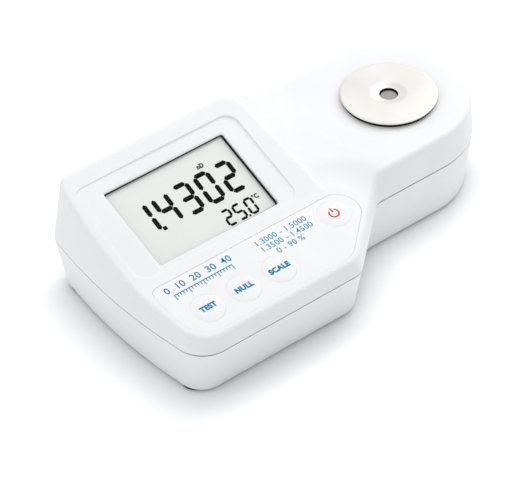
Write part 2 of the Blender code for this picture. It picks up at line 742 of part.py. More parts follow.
def feature_lines():
    """Lines in plan along which the upper case's top bends."""
    ear, well = (EAR_X, EAR_Y), (WELL_X, WELL_Y)
    scoop_first, scoop_last = WAIST_ANGLE - math.pi / 2, SCOOP_END_ANGLE
    crease_x = BLOCK_SIDE_X - BLOCK_LEAN * (display_height(CREASE_Y) - SPLIT_HEIGHT)
    lines = [[(-HALF_LENGTH + OVERRUN, CREASE_Y), ((crease_x - HALF_LENGTH) / 2, CREASE_Y),
              (crease_x, CREASE_Y)],
             block_edge(lambda x, y: display_height(y), CREASE_Y),
             block_edge(shelf_height, CREASE_Y / 2),
             arc_line(ear, SCOOP_RADIUS, scoop_first, scoop_last),
             meeting_line(ear, SCOOP_RADIUS, SCOOP_RADIUS + 2 * SCOOP_REACH, scoop_first, scoop_last,
                          lambda x, y: scoop_height(x, y) - max(well_height(x, y), shelf_height(x, y))),
             meeting_line(well, WELL_RIM_RADIUS / 2, 2 * WELL_RIM_RADIUS, SHELF_MEETING_FIRST,
                          SHELF_MEETING_LAST, lambda x, y: shelf_height(x, y) - well_height(x, y), 12)]
    lines += [arc_line(ear, SCOOP_RADIUS + SCOOP_REACH * share, scoop_first, scoop_last)
              for share in (0.35, 0.6, 0.8)]
    lines += [arc_line(well, radius, 0.0, math.tau, 40)[:-1] + arc_line(well, radius, 0.0, 0.0, 1)[:1]
              for radius in (WELL_NECK_RADIUS, RING_RADIUS, WELL_DISH_RADIUS)]
    lines.append(arc_line(well, WELL_RIM_RADIUS, RIM_ARC_FIRST, RIM_ARC_LAST))
    return lines


def upper_wall_outline(share):
    """Outline of the upper walls' top edge, a share of the way over its rounding."""
    inset = UPPER_INSET + EDGE_ROUND * share
    lean = BLOCK_LEAN * (CASE_HEIGHT - SPLIT_HEIGHT) - EDGE_ROUND * (1 - share)
    return case_outline(inset, inset, inset, inset, inset, inset, lean - inset)


def upper_skin():
    """Outer form of the upper case: its walls, rounded edge and shaped top, closed underneath."""
    counts = step_counts()
    base = divided(case_outline(), counts)
    walls = [divided(upper_wall_outline(share), counts) for share in (0.0, EDGE_SHARE, 1.0)]
    rim = walls[-1]
    count = len(rim)
    flat, edges = [p.copy() for p in rim], [(i, (i + 1) % count) for i in range(count)]
    for line in feature_lines():
        before = None
        for point in line:
            if edge_distance(point, rim) < EDGE_ROUND / 2:
                before = None
                continue
            flat.append(Vector(point))
            if before is not None:
                edges.append((before, len(flat) - 1))
            before = len(flat) - 1
    plan, _, triangles, origins, _, _ = delaunay_2d_cdt(flat, edges, [], 1, GAP / 10)
    top = [Vector((p.x, p.y, top_height(p.x, p.y))) for p in plan]
    rim_index = {}
    for index, origin in enumerate(origins):
        for source in origin:
            if source < count:
                rim_index[source] = index
    heights = [top[rim_index[i]].z for i in range(count)]
    drops = [EDGE_ROUND, EDGE_ROUND * EDGE_SHARE]
    points = list(top)
    rings = [list(range(len(points), len(points) + count))]
    points += [Vector((p.x, p.y, UPPER_BOTTOM)) for p in base]
    for wall, drop in zip(walls, drops):
        rings.append(list(range(len(points), len(points) + count)))
        points += [Vector((p.x, p.y, height - drop)) for p, height in zip(wall, heights)]
    rings.append([rim_index[i] for i in range(count)])
    faces = [tuple(face) for face in triangles] + [tuple(reversed(rings[0]))]
    for low, high in zip(rings, rings[1:]):
        faces += [(low[i], low[(i + 1) % count], high[(i + 1) % count], high[i]) for i in range(count)]
    return face_out(new_object("upper_case", mesh_of("upper_case", points, faces), None))


def sloped_prism(name, outline, low, high, matrix):
    """Prism on an outline in a sloping face's own plane, with depths measured along its normal."""
    return place(prism(name, outline, low, high), matrix)


def level_wedge(matrix, depth):
    """Large block that lies above a sloping face sunk by a depth, to cut a cavity's top to the slope."""
    outline = rounded_rectangle(2 * CASE_LENGTH, 2 * CASE_LENGTH, OVERRUN, 1)
    return sloped_prism("wedge", outline, -depth, CASE_LENGTH, matrix)


def upper_cavity():
    """Room inside the upper case: under the keypad, under the display and under the well."""
    counts = step_counts()
    low = divided(even_outline(WALL), counts)
    high = divided(even_outline(WALL + UPPER_INSET), counts)
    room = loft("cavity", [ring_at(low, UPPER_BOTTOM - OVERRUN), ring_at(low, UPPER_BOTTOM),
                           ring_at(high, SCOOP_CAVITY_HEIGHT)])
    combine(room, [level_wedge(keypad_place(0, 0), ROOF)], "DIFFERENCE")
    block = loft("block_cavity", [ring_at(block_inside(height), height)
                                  for height in (SPLIT_HEIGHT + OVERRUN, CASE_HEIGHT)])
    combine(block, [level_wedge(display_place(0, 0), ROOF)], "DIFFERENCE")
    well = post("well_cavity", WELL_END_RADIUS - WALL - UPPER_INSET, SPLIT_HEIGHT + OVERRUN,
                WELL_FLOOR_HEIGHT - ROOF, None, (WELL_X, WELL_Y), 40)
    return combine(room, [block, well], "UNION")


def block_inside(height):
    """Outline of the room under the display at a height."""
    lean = BLOCK_LEAN * (height - SPLIT_HEIGHT) + WALL * math.hypot(1, BLOCK_LEAN)
    side_x, back_y = BLOCK_SIDE_X - lean, HALF_WIDTH - lean
    left_x = -HALF_LENGTH + WALL + UPPER_INSET
    front_y = CREASE_Y + ROOF / 2
    corner_x = left_x + BOW_RADIUS - math.sqrt(BOW_RADIUS ** 2 - back_y ** 2) + GAP
    return rounded_polygon([(left_x + GAP, front_y, GAP, 1), (side_x, front_y, WALL, 2),
                            (side_x, back_y, BLOCK_CORNER_RADIUS - lean, ARC_SEGMENTS),
                            (corner_x, back_y, BACK_CORNER_RADIUS, ARC_SEGMENTS),
                            (left_x + GAP, 0.0, CASE_WIDTH, 2)])


def build_upper_case(material):
    """Upper case with its cavity, windows, bosses and seats."""
    case = upper_skin()
    case.data.materials.append(material)
    combine(case, [upper_cavity()], "DIFFERENCE")
    bosses = [post("boss", PILLAR_RADIUS, UPPER_BOTTOM, top_height(x, y) - ROOF / 2, None, (x, y))
              for x, y in CASE_SCREW_PLACES]
    bosses += [sloped_prism("boss", moved(circle(BOSS_RADIUS, 16), x, y), GAP - MAIN_BOARD_DEPTH, -ROOF / 2,
                            display_place()) for x, y in main_board_screws()]
    bosses += [sloped_prism("boss", moved(circle(BOSS_RADIUS, 16), x, y), GAP - KEYPAD_BOARD_DEPTH, -ROOF / 2,
                            keypad_place(0, 0)) for x, y in keypad_board_screws()]
    combine(case, bosses, "UNION")
    screw_tip = SCREW_SEAT_HEIGHT + screw_length() + GAP
    holes = [post("hole", SCREW_SHANK_RADIUS + GAP, SPLIT_HEIGHT - OVERRUN, screw_tip, None, place_at, 16)
             for place_at in CASE_SCREW_PLACES]
    hole = circle(SMALL_SHANK_RADIUS + GAP, 12)
    holes += [sloped_prism("hole", moved(hole, x, y), -MAIN_BOARD_DEPTH - OVERRUN, -ROOF, display_place())
              for x, y in main_board_screws()]
    pad = keypad_place(0, 0)
    holes += [sloped_prism("hole", moved(hole, x, y), -KEYPAD_BOARD_DEPTH - OVERRUN, -ROOF, pad)
              for x, y in keypad_board_screws()]
    window = rounded_rectangle(WINDOW_LENGTH, WINDOW_DEPTH, WINDOW_CORNER, 3)
    holes.append(sloped_prism("window", window, -ROOF - OVERRUN, OVERRUN, display_place()))
    holes.append(panel_cutter())
    sink = OVERLAY_SINK + OVERLAY_THICKNESS + GAP
    holes.append(sloped_prism("overlay_seat", overlay_outline(GAP), -sink, OVERRUN, keypad_place(0, 0)))
    key_hole = circle(KEY_RADIUS + GAP, 36)
    holes += [sloped_prism("key_hole", key_hole, -ROOF - OVERRUN, OVERRUN, keypad_place(x, y))
              for x, y in key_places().values()]
    well = (WELL_X, WELL_Y)
    holes.append(post("well_hole", WELL_NECK_RADIUS + GAP, SPLIT_HEIGHT, CASE_HEIGHT, None, well, 40))
    return combine(case, holes, "DIFFERENCE")


def moved(outline, x, y):
    """Outline moved in its own plane."""
    return [point + Vector((x, y)) for point in outline]


def screw_length():
    """Length of a case screw's shank, from its seat into the upper case's boss."""
    return SPLIT_HEIGHT - SCREW_SEAT_HEIGHT + SCREW_GRIP


def panel_cutter():
    """Shallow sink round the window, deepest at its back right corner and nothing at its front left."""
    outline = [Vector((x - WINDOW_CENTRE_X, (y - WINDOW_CENTRE_Y) / math.cos(DISPLAY_ANGLE)))
               for x, y in ((PANEL_LEFT_X, PANEL_FRONT_Y), (PANEL_RIGHT_X, PANEL_FRONT_Y),
                            (PANEL_RIGHT_X, PANEL_BACK_Y), (PANEL_LEFT_X, PANEL_BACK_Y))]
    corner, far = outline[0], outline[2]
    outline = rounded_polygon([(p.x, p.y, PANEL_CORNER, ARC_SEGMENTS) for p in outline])

    def sunk(x, y):
        return -PANEL_SINK * ((x - corner.x) / (far.x - corner.x) + (y - corner.y) / (far.y - corner.y))

    return place(loft("panel", [ring_at(outline, sunk), ring_at(outline, OVERRUN)]), display_place())


def overlay_outline(grow=0.0):
    """Outline of the keypad overlay in the keypad's own plane, grown by a clearance."""
    radius = OVERLAY_EAR_RADIUS + grow
    ear_right, top_y = EAR_X + radius, EAR_Y + radius
    front_y = OVERLAY_FRONT_Y - grow
    along = Vector((math.cos(WAIST_ANGLE), math.sin(WAIST_ANGLE)))
    tangent = Vector((EAR_X, EAR_Y)) + Vector((along.y, -along.x)) * radius
    waist_front_x = tangent.x + (front_y - tangent.y) * along.x / along.y
    waist_ear_y = tangent.y + (ear_right - tangent.x) * along.y / along.x
    left_x = OVERLAY_LEFT_X - grow
    return keypad_plan(rounded_polygon([
        (left_x, front_y, OVERLAY_CORNER, ARC_SEGMENTS),
        (waist_front_x, front_y, OVERLAY_WAIST_CORNER, ARC_SEGMENTS),
        (ear_right, waist_ear_y, radius, ARC_SEGMENTS), (ear_right, top_y, radius, ARC_SEGMENTS),
        (left_x, top_y, OVERLAY_BACK_CORNER, ARC_SEGMENTS)]))


def key_places():
    """Place in plan of each key's middle."""
    row = {name: (KEY_FIRST_X + KEY_PITCH * index, KEY_Y)
           for index, name in enumerate(("key_left", "key_middle", "key_right"))}
    return {**row, "key_power": (EAR_X - KEY_RADIUS * KEY_POWER_SHIFT_SHARE, EAR_Y)}


def main_board_screws():
    """Places of the main board's screws in the display's own plane."""
    side = WINDOW_LENGTH / 2
    back = MAIN_BOARD_BACK - BOSS_RADIUS
    front = BOSS_RADIUS - MAIN_BOARD_FRONT
    return [(-side, back), (side, back), (-side, front), (side, front)]


def keypad_board_screws():
    """Places of the keypad board's screws in the keypad's own plane."""
    first, last = KEY_FIRST_X + KEY_PITCH / 2, KEYPAD_BOARD_STEP_X - BOSS_RADIUS
    front = KEYPAD_BOARD_FRONT_Y + BOSS_RADIUS
    back = KEYPAD_BOARD_BACK_Y - BOSS_RADIUS
    return keypad_plan([Vector((first, front)), Vector((last, front)), Vector((last, back))])


# Display pieces

def build_display():
    """Window, its gasket, and the liquid crystal panel with its carrier and contact strips."""
    black = make_material("black_rubber", (0.02, 0.02, 0.02), 0.7)
    clear = make_material("clear_acrylic", (0.9, 0.93, 0.93), 0.05)
    grey = make_material("display_glass", (0.78, 0.8, 0.76), 0.25)
    frame_black = make_material("carrier_black", (0.04, 0.04, 0.045), 0.5)
    matrix = display_place()
    outer = rounded_rectangle(WINDOW_LENGTH - 2 * GAP, WINDOW_DEPTH - 2 * GAP, WINDOW_CORNER, 3)
    inner_length, inner_depth = (size - 2 * (GAP + GASKET_WALL) for size in (WINDOW_LENGTH, WINDOW_DEPTH))
    inner = rounded_rectangle(inner_length, inner_depth, WINDOW_CORNER / 2, 3)
    place(frame("window_gasket", outer, inner, GAP - LCD_DEPTH, -GASKET_TOP_DEPTH, black), matrix)
    pane = rounded_rectangle(inner_length - 2 * GAP, inner_depth - 2 * GAP, WINDOW_CORNER / 2, 3)
    place(prism("display_window", pane, -PANE_DEPTH - PANE_THICKNESS, -PANE_DEPTH, clear), matrix)
    lcd_length, lcd_depth = WINDOW_LENGTH + 2 * LCD_MARGIN, WINDOW_DEPTH + 2 * LCD_MARGIN
    lcd_bottom = -LCD_DEPTH - LCD_THICKNESS
    panel = rounded_rectangle(lcd_length, lcd_depth, GAP, 1)
    place(prism("lcd_panel", panel, lcd_bottom, -LCD_DEPTH, grey), matrix)
    carrier_low, carrier_high = GAP - MAIN_BOARD_DEPTH, -ROOF - GAP
    inner = rounded_rectangle(lcd_length + 2 * GAP, lcd_depth + 2 * GAP, GAP, 1)
    outer = rounded_rectangle(lcd_length + 2 * (GAP + CARRIER_SIDE_WALL),
                              lcd_depth + 2 * (GAP + CARRIER_END_WALL), CARRIER_SIDE_WALL, 1)
    place(frame("lcd_carrier", outer, inner, carrier_low, carrier_high, frame_black), matrix)
    silicone = make_material("silicone_strip", (0.75, 0.45, 0.5), 0.6)
    for name, side in (("lcd_contact_strip_front", -1), ("lcd_contact_strip_back", 1)):
        middle = side * (lcd_depth / 2 - STRIP_INSET - STRIP_WIDTH / 2)
        low = (-lcd_length / 2 + STRIP_INSET, middle - STRIP_WIDTH / 2, carrier_low)
        high = (lcd_length / 2 - STRIP_INSET, middle + STRIP_WIDTH / 2, lcd_bottom - GAP)
        place(box(name, low, high, silicone), matrix)


def board_with_holes(name, outline, depth, holes, matrix, material):
    """Circuit board in a sloping face's own plane, with clearance holes for its screws."""
    board = sloped_prism(name, outline, -depth - BOARD_THICKNESS, -depth, matrix)
    shank = circle(SMALL_SHANK_RADIUS + GAP, 12)
    cutters = [sloped_prism("hole", moved(shank, x, y), -depth - OVERRUN, -ROOF, matrix) for x, y in holes]
    combine(board, cutters, "DIFFERENCE")
    board.data.materials.append(material)
    return board


def build_boards():
    """Main board with its chips, keypad board with its switches, and their screws."""
    green = make_material("board_green", (0.03, 0.22, 0.1), 0.4)
    chip_black = make_material("chip_black", (0.03, 0.03, 0.03), 0.4)
    steel = make_material("screw_steel", (0.6, 0.6, 0.6), 0.3, 1.0)
    display, keypad = display_place(), keypad_place(0, 0)
    half = WINDOW_LENGTH / 2 + BOSS_RADIUS
    main_outline = moved(rounded_rectangle(2 * half, MAIN_BOARD_BACK + MAIN_BOARD_FRONT, BOSS_RADIUS, 3),
                         0.0, (MAIN_BOARD_BACK - MAIN_BOARD_FRONT) / 2)
    board_with_holes("main_board", main_outline, MAIN_BOARD_DEPTH, main_board_screws(), display, green)
    left, step, right = KEYPAD_BOARD_LEFT_X, KEYPAD_BOARD_STEP_X, KEYPAD_BOARD_RIGHT_X
    back, arm, front = KEYPAD_BOARD_BACK_Y, KEYPAD_BOARD_ARM_Y, KEYPAD_BOARD_FRONT_Y
    corners = [(left, front), (step, front), (step, arm), (right, arm), (right, back), (left, back)]
    keypad_outline = keypad_plan(rounded_polygon([(x, y, BOSS_RADIUS / 2, 2) for x, y in corners]))
    board_with_holes("keypad_board", keypad_outline, KEYPAD_BOARD_DEPTH, keypad_board_screws(), keypad, green)
    under = -MAIN_BOARD_DEPTH - BOARD_THICKNESS - GAP
    place(box("processor", (-CHIP_SIZE / 2, -CHIP_SIZE / 2, under - CHIP_HEIGHT),
              (CHIP_SIZE / 2, CHIP_SIZE / 2, under), chip_black), display)
    for name, (x, y) in key_places().items():
        low, high = -KEYPAD_BOARD_DEPTH + GAP, -KEYPAD_BOARD_DEPTH + SWITCH_HEIGHT
        square = rounded_rectangle(SWITCH_SIZE, SWITCH_SIZE, GAP, 1)
        body = prism(name.replace("key", "switch"), square, low, high)
        plunger = post("plunger", PLUNGER_RADIUS, high - GAP, high + PLUNGER_HEIGHT, None, (0.0, 0.0), 12)
        place(combine(body, [plunger], "UNION"), keypad_place(x, y)).data.materials.append(chip_black)
    for index, (x, y) in enumerate(main_board_screws(), 1):
        small_screw(f"main_board_screw_{index}", x, y, -MAIN_BOARD_DEPTH - BOARD_THICKNESS, display, steel)
    for index, (x, y) in enumerate(keypad_board_screws(), 1):
        small_screw(f"keypad_board_screw_{index}", x, y, -KEYPAD_BOARD_DEPTH - BOARD_THICKNESS, keypad, steel)


def small_screw(name, x, y, seat, matrix, material):
    """Board screw with its head under a seat level in a sloping face's own plane."""
    seat -= GAP
    tip = -ROOF - GAP
    profile = [(0, seat - SMALL_HEAD_HEIGHT), (SMALL_HEAD_RADIUS, seat - SMALL_HEAD_HEIGHT),
               (SMALL_HEAD_RADIUS, seat),
               (SMALL_SHANK_RADIUS, seat), (SMALL_SHANK_RADIUS, tip), (0, tip)]
    return place(turned(name, profile, material, (x, y), 12), matrix)


# Keypad pieces

def build_keypad():
    """Overlay and four keys, each key with its own origin on its line of travel."""
    film = make_material("overlay_film", (0.88, 0.89, 0.9), 0.5)
    rubber = make_material("key_white", (0.9, 0.9, 0.91), 0.5)
    low, high = -OVERLAY_SINK - OVERLAY_THICKNESS, -OVERLAY_SINK
    overlay = sloped_prism("keypad_overlay", overlay_outline(), low, high, keypad_place(0, 0))
    cutters = [sloped_prism("hole", circle(KEY_RADIUS + GAP, 36), -OVERRUN, OVERRUN, keypad_place(x, y))
               for x, y in key_places().values()]
    combine(overlay, cutters, "DIFFERENCE").data.materials.append(film)
    flange_top = -ROOF - GAP
    flange_low = flange_top - KEY_FLANGE_THICKNESS
    stem_low = -KEYPAD_BOARD_DEPTH + SWITCH_HEIGHT + PLUNGER_HEIGHT + KEY_TRAVEL + GAP
    profile = [(0, stem_low), (KEY_STEM_RADIUS, stem_low), (KEY_STEM_RADIUS, flange_low),
               (KEY_RADIUS + KEY_FLANGE, flange_low), (KEY_RADIUS + KEY_FLANGE, flange_top),
               (KEY_RADIUS, flange_top), (KEY_RADIUS, KEY_RISE - KEY_EDGE / 2),
               (KEY_RADIUS - KEY_EDGE * EDGE_SHARE, KEY_RISE - KEY_EDGE / 8),
               (KEY_RADIUS - KEY_EDGE, KEY_RISE), (0, KEY_RISE)]
    for name, (x, y) in key_places().items():
        key = turned(name, profile, rubber, (0.0, 0.0), 36)
        key.matrix_basis = keypad_place(x, y)


# Lower case and what closes it

def lower_share(height):
    """Share of the lower case's full inset at a height."""
    return (LOWER_TOP - height) / (LOWER_TOP - FOOT_STAND)


def build_lower_case(material):
    """Lower case with its rim groove, screw pillars, battery collar and foot pockets."""
    edge = FOOT_STAND + LOWER_EDGE_ROUND
    part_round = LOWER_EDGE_ROUND * EDGE_SHARE
    rings = [ring_at(lower_outline(1.0, LOWER_EDGE_ROUND), FOOT_STAND),
             ring_at(lower_outline(1.0, part_round), FOOT_STAND + part_round),
             ring_at(lower_outline(lower_share(edge)), edge), ring_at(case_outline(), LOWER_TOP)]
    case = loft("lower_case", rings, material)
    room = loft("room", [ring_at(lower_outline(lower_share(FLOOR_HEIGHT), WALL), FLOOR_HEIGHT),
                         ring_at(even_outline(WALL), LOWER_TOP),
                         ring_at(even_outline(WALL), LOWER_TOP + OVERRUN)])
    collar_low = FOOT_STAND + COVER_FLANGE_THICKNESS + GAP
    pillars = [post("pillar", PILLAR_RADIUS, FOOT_STAND, LOWER_TOP, None, place_at)
               for place_at in CASE_SCREW_PLACES]
    pillars += [post("post", PILLAR_RADIUS, FOOT_STAND, optics_low() - GAP, None, place_at)
                for place_at in optics_posts()]
    pillars.append(post("collar", collar_radius() + COLLAR_WIDTH, FOOT_STAND, collar_low + LIP_THICKNESS,
                        None, (COVER_X, COVER_Y), 48))
    combine(room, pillars, "DIFFERENCE")
    groove = frame("groove", even_outline(SEAL_INSET), even_outline(SEAL_INSET + SEAL_GROOVE_WIDTH),
                   LOWER_TOP - SEAL_GROOVE_DEPTH, LOWER_TOP + OVERRUN)
    recess = post("recess", collar_radius(), FOOT_STAND - OVERRUN, collar_low, None, (COVER_X, COVER_Y), 48)
    notched = lug_outline(BATTERY_HOLE_RADIUS, LUG_REACH, LUG_ANGLE + GAP / BATTERY_HOLE_RADIUS, COVER_TURN)
    hole = prism("hole", moved(notched, COVER_X, COVER_Y), FOOT_STAND, FLOOR_HEIGHT + OVERRUN)
    combine(case, [room, groove, recess, hole], "DIFFERENCE")
    cutters = []
    for x, y in CASE_SCREW_PLACES:
        cutters.append(post("hole", SCREW_SHANK_RADIUS + GAP, FOOT_STAND, CASE_HEIGHT, None, (x, y), 16))
        cutters.append(post("head_hole", SCREW_HEAD_RADIUS + GAP, FOOT_STAND - OVERRUN, SCREW_SEAT_HEIGHT,
                            None, (x, y)))
    cutters += [post("pocket", FOOT_RADIUS + GAP, FOOT_STAND - OVERRUN, FOOT_STAND + FOOT_POCKET, None,
                     place_at, 28) for place_at in FOOT_PLACES.values()]
    return combine(case, cutters, "DIFFERENCE")


def collar_radius():
    """Radius of the recess that holds the battery cover's flange."""
    return BATTERY_HOLE_RADIUS + COVER_LIP


def lug_outline(radius, reach, half_angle=LUG_ANGLE, turn=0.0):
    """Points round a circle with two opposite sectors that reach further out."""
    outline = []
    for side in (turn, turn + math.pi):
        angles = [side + half_angle * (2 * step / ARC_SEGMENTS - 1) for step in range(ARC_SEGMENTS + 1)]
        between = math.pi - 2 * half_angle
        rest = [angles[-1] + between * step / LUG_FREE_SEGMENTS for step in range(1, LUG_FREE_SEGMENTS)]
        edge = reach / radius * EDGE_SHARE
        outline += [(angles[0] - edge, 0.0), *((angle, reach) for angle in angles), (angles[-1] + edge, 0.0)]
        outline += [(angle, 0.0) for angle in rest]
    return [Vector(((radius + out) * math.cos(angle), (radius + out) * math.sin(angle)))
            for angle, out in outline]


def build_battery_cover(material, rubber):
    """Round twist cover under the battery, with bayonet lugs, a coin slot and a seal."""
    neck_radius = BATTERY_HOLE_RADIUS - GAP
    flange_radius = collar_radius() - GAP
    flange_top = FOOT_STAND + COVER_FLANGE_THICKNESS
    lug_low = flange_top + GAP + LIP_THICKNESS + GAP
    flange, neck = lug_outline(flange_radius, 0.0), lug_outline(neck_radius, 0.0)
    wings = lug_outline(neck_radius, LUG_REACH)
    levels = [(flange, FOOT_STAND), (flange, flange_top), (neck, flange_top), (neck, lug_low),
              (wings, lug_low), (wings, lug_low + LUG_THICKNESS)]
    cover = loft("battery_cover", [ring_at(outline, height) for outline, height in levels], material)
    cutters = [post("inside", neck_radius - COVER_NECK_WALL, flange_top, FLOOR_HEIGHT + OVERRUN, None,
                    (0.0, 0.0), 40),
               box("slot", (-COIN_SLOT_LENGTH / 2, -COIN_SLOT_WIDTH / 2, FOOT_STAND - OVERRUN),
                   (COIN_SLOT_LENGTH / 2, COIN_SLOT_WIDTH / 2, FOOT_STAND + COIN_SLOT_DEPTH)),
               tube_wall("groove", neck_radius + GAP, flange_radius - GAP, flange_top - COVER_GROOVE_DEPTH,
                         flange_top + GAP)]
    combine(cover, cutters, "DIFFERENCE").matrix_basis = Matrix.Translation((COVER_X, COVER_Y, 0.0))
    seal_inner, seal_outer = neck_radius + 2 * GAP, flange_radius - 2 * GAP
    tube_wall("cover_seal", seal_inner, seal_outer, flange_top - COVER_GROOVE_DEPTH + GAP, flange_top, rubber,
              (COVER_X, COVER_Y))


def build_case_closure(material):
    """Seal between the halves, feet and the screws that hold the halves together."""
    rubber = make_material("seal_rubber", (0.03, 0.03, 0.03), 0.8)
    steel = make_material("case_screw_steel", (0.6, 0.6, 0.6), 0.3, 1.0)
    frame("case_seal", even_outline(SEAL_INSET + GAP), even_outline(SEAL_INSET + SEAL_GROOVE_WIDTH - GAP),
          LOWER_TOP - SEAL_GROOVE_DEPTH + GAP, LOWER_TOP, rubber)
    for name, place_at in FOOT_PLACES.items():
        chamfer = FOOT_POCKET / 2
        turned(name, [(0, 0), (FOOT_RADIUS - chamfer, 0), (FOOT_RADIUS, chamfer),
                      (FOOT_RADIUS, FOOT_STAND + FOOT_POCKET - GAP), (0, FOOT_STAND + FOOT_POCKET - GAP)],
               rubber, place_at, 28)
    head_top = SCREW_SEAT_HEIGHT - GAP
    for index, place_at in enumerate(CASE_SCREW_PLACES, 1):
        head_low = head_top - SCREW_HEAD_HEIGHT
        turned(f"case_screw_{index}", [(0, head_low), (SCREW_HEAD_RADIUS, head_low),
                                       (SCREW_HEAD_RADIUS, head_top), (SCREW_SHANK_RADIUS, head_top),
                                       (SCREW_SHANK_RADIUS, head_top + screw_length()),
                                       (0, head_top + screw_length())], steel, place_at, 16)
    build_battery_cover(material, rubber)


# Battery

def build_battery():
    """Battery, its snap with two leads, and the cup that it sits in."""
    casing = make_material("battery_casing", (0.05, 0.05, 0.06), 0.3, 0.6)
    snap_black = make_material("snap_black", (0.04, 0.04, 0.04), 0.5)
    cup_white = make_material("cup_abs", (0.8, 0.8, 0.8), 0.5)
    red = make_material("lead_red", (0.7, 0.03, 0.03), 0.5)
    black = make_material("lead_black", (0.03, 0.03, 0.03), 0.5)
    low = FOOT_STAND + COVER_FLANGE_THICKNESS + LIP_THICKNESS + 3 * GAP + LUG_THICKNESS
    high = low + BATTERY_THICKNESS
    total = BATTERY_LENGTH + TERMINAL_LENGTH + GAP + SNAP_THICKNESS
    left = COVER_X - total / 2
    middle = COVER_Y
    side = rounded_rectangle(BATTERY_THICKNESS, BATTERY_WIDTH, BATTERY_CORNER, 3)
    lay = Matrix.Rotation(math.pi / 2, 4, "Y")
    centre_height = (low + high) / 2
    body = place(prism("battery", side, 0, BATTERY_LENGTH),
                 Matrix.Translation((left, middle, centre_height)) @ lay)
    terminals = []
    for offset in (-TERMINAL_SPACING / 2, TERMINAL_SPACING / 2):
        stud = post("terminal", TERMINAL_RADIUS, BATTERY_LENGTH - GAP, BATTERY_LENGTH + TERMINAL_LENGTH,
                    None, (0, 0), 16)
        terminals.append(place(stud, Matrix.Translation((left, middle + offset, centre_height)) @ lay))
    combine(body, terminals, "UNION").data.materials.append(casing)
    snap_left = left + BATTERY_LENGTH + TERMINAL_LENGTH + GAP
    snap = rounded_rectangle(SNAP_WIDTH, BATTERY_WIDTH - 2 * BATTERY_CORNER, BATTERY_CORNER, 3)
    place(prism("battery_snap", snap, 0, SNAP_THICKNESS, snap_black),
          Matrix.Translation((snap_left, middle, centre_height)) @ lay)
    build_battery_cup(cup_white, low, high, left, total)
    roof_top = high + GAP + CUP_WALL
    lead_x = snap_left + SNAP_THICKNESS / 2
    depth = MAIN_BOARD_DEPTH + BOARD_THICKNESS
    for name, offset, material in (("battery_lead_red", LEAD_SPACING, red),
                                   ("battery_lead_black", -LEAD_SPACING, black)):
        y = middle + offset / 2
        board_x = lead_x - LEAD_SPACING
        plane_y = y - depth * math.sin(DISPLAY_ANGLE)
        under = display_height(plane_y) - (depth + 2 * GAP) * math.cos(DISPLAY_ANGLE)
        start = centre_height + SNAP_WIDTH / 2 + GAP
        wire(name, [(lead_x, y, start), (lead_x, y, roof_top + LEAD_RADIUS),
                    (board_x, y, (roof_top + under) / 2), (board_x, y, under - LEAD_RADIUS)],
             LEAD_RADIUS, material)


def build_battery_cup(material, low, high, left, total):
    """Round cup over the battery, closed at the top, with ribs that hold the battery's sides."""
    inner = collar_radius() + COLLAR_WIDTH + GAP
    outer = inner + CUP_WALL
    roof_low = high + GAP
    roof_top = roof_low + CUP_WALL
    cup = turned("battery_cup", [(inner, FLOOR_HEIGHT + GAP), (outer, FLOOR_HEIGHT + GAP),
                                 (outer, roof_top), (0, roof_top), (0, roof_low), (inner, roof_low)],
                 material, (COVER_X, COVER_Y), 48)
    rib_low, rib_top = low + OVERRUN, roof_low + GAP
    ribs = []
    for side in (-1, 1):
        near = COVER_Y + side * (BATTERY_WIDTH / 2 + GAP)
        far = near + side * CUP_RIB
        ribs.append(box("rib", (left, min(near, far), rib_low), (left + total, max(near, far), rib_top)))
    right = left + total + GAP
    half = SNAP_WIDTH / 2
    for near, far in ((left - GAP - CUP_RIB, left - GAP), (right, right + CUP_RIB)):
        ribs.append(box("rib", (near, COVER_Y - half, rib_low), (far, COVER_Y + half, rib_top)))
    combine(cup, ribs, "UNION")
    lead_x = left + total - SNAP_THICKNESS / 2
    slot = rounded_rectangle(4 * LEAD_RADIUS, LEAD_SPACING + 4 * LEAD_RADIUS, 2 * LEAD_RADIUS - GAP, 3)
    passage = prism("slot", moved(slot, lead_x, COVER_Y), roof_low - OVERRUN, roof_top + OVERRUN)
    combine(cup, [passage], "DIFFERENCE")


# Sample well and optics

def optics_low():
    """Underside of the optics housing."""
    return RING_HEIGHT - WELL_NECK_LENGTH - GAP - OPTICS_HEIGHT


def optics_posts():
    """Places in plan of the lower case's posts under the optics housing."""
    x, y = OPTICS_LENGTH / 2 - PILLAR_RADIUS, OPTICS_WIDTH / 2 - PILLAR_RADIUS
    return [(WELL_X + sx * x, WELL_Y + sy * y) for sx, sy in ((-1, -1), (1, -1), (1, 1), (-1, 1))]


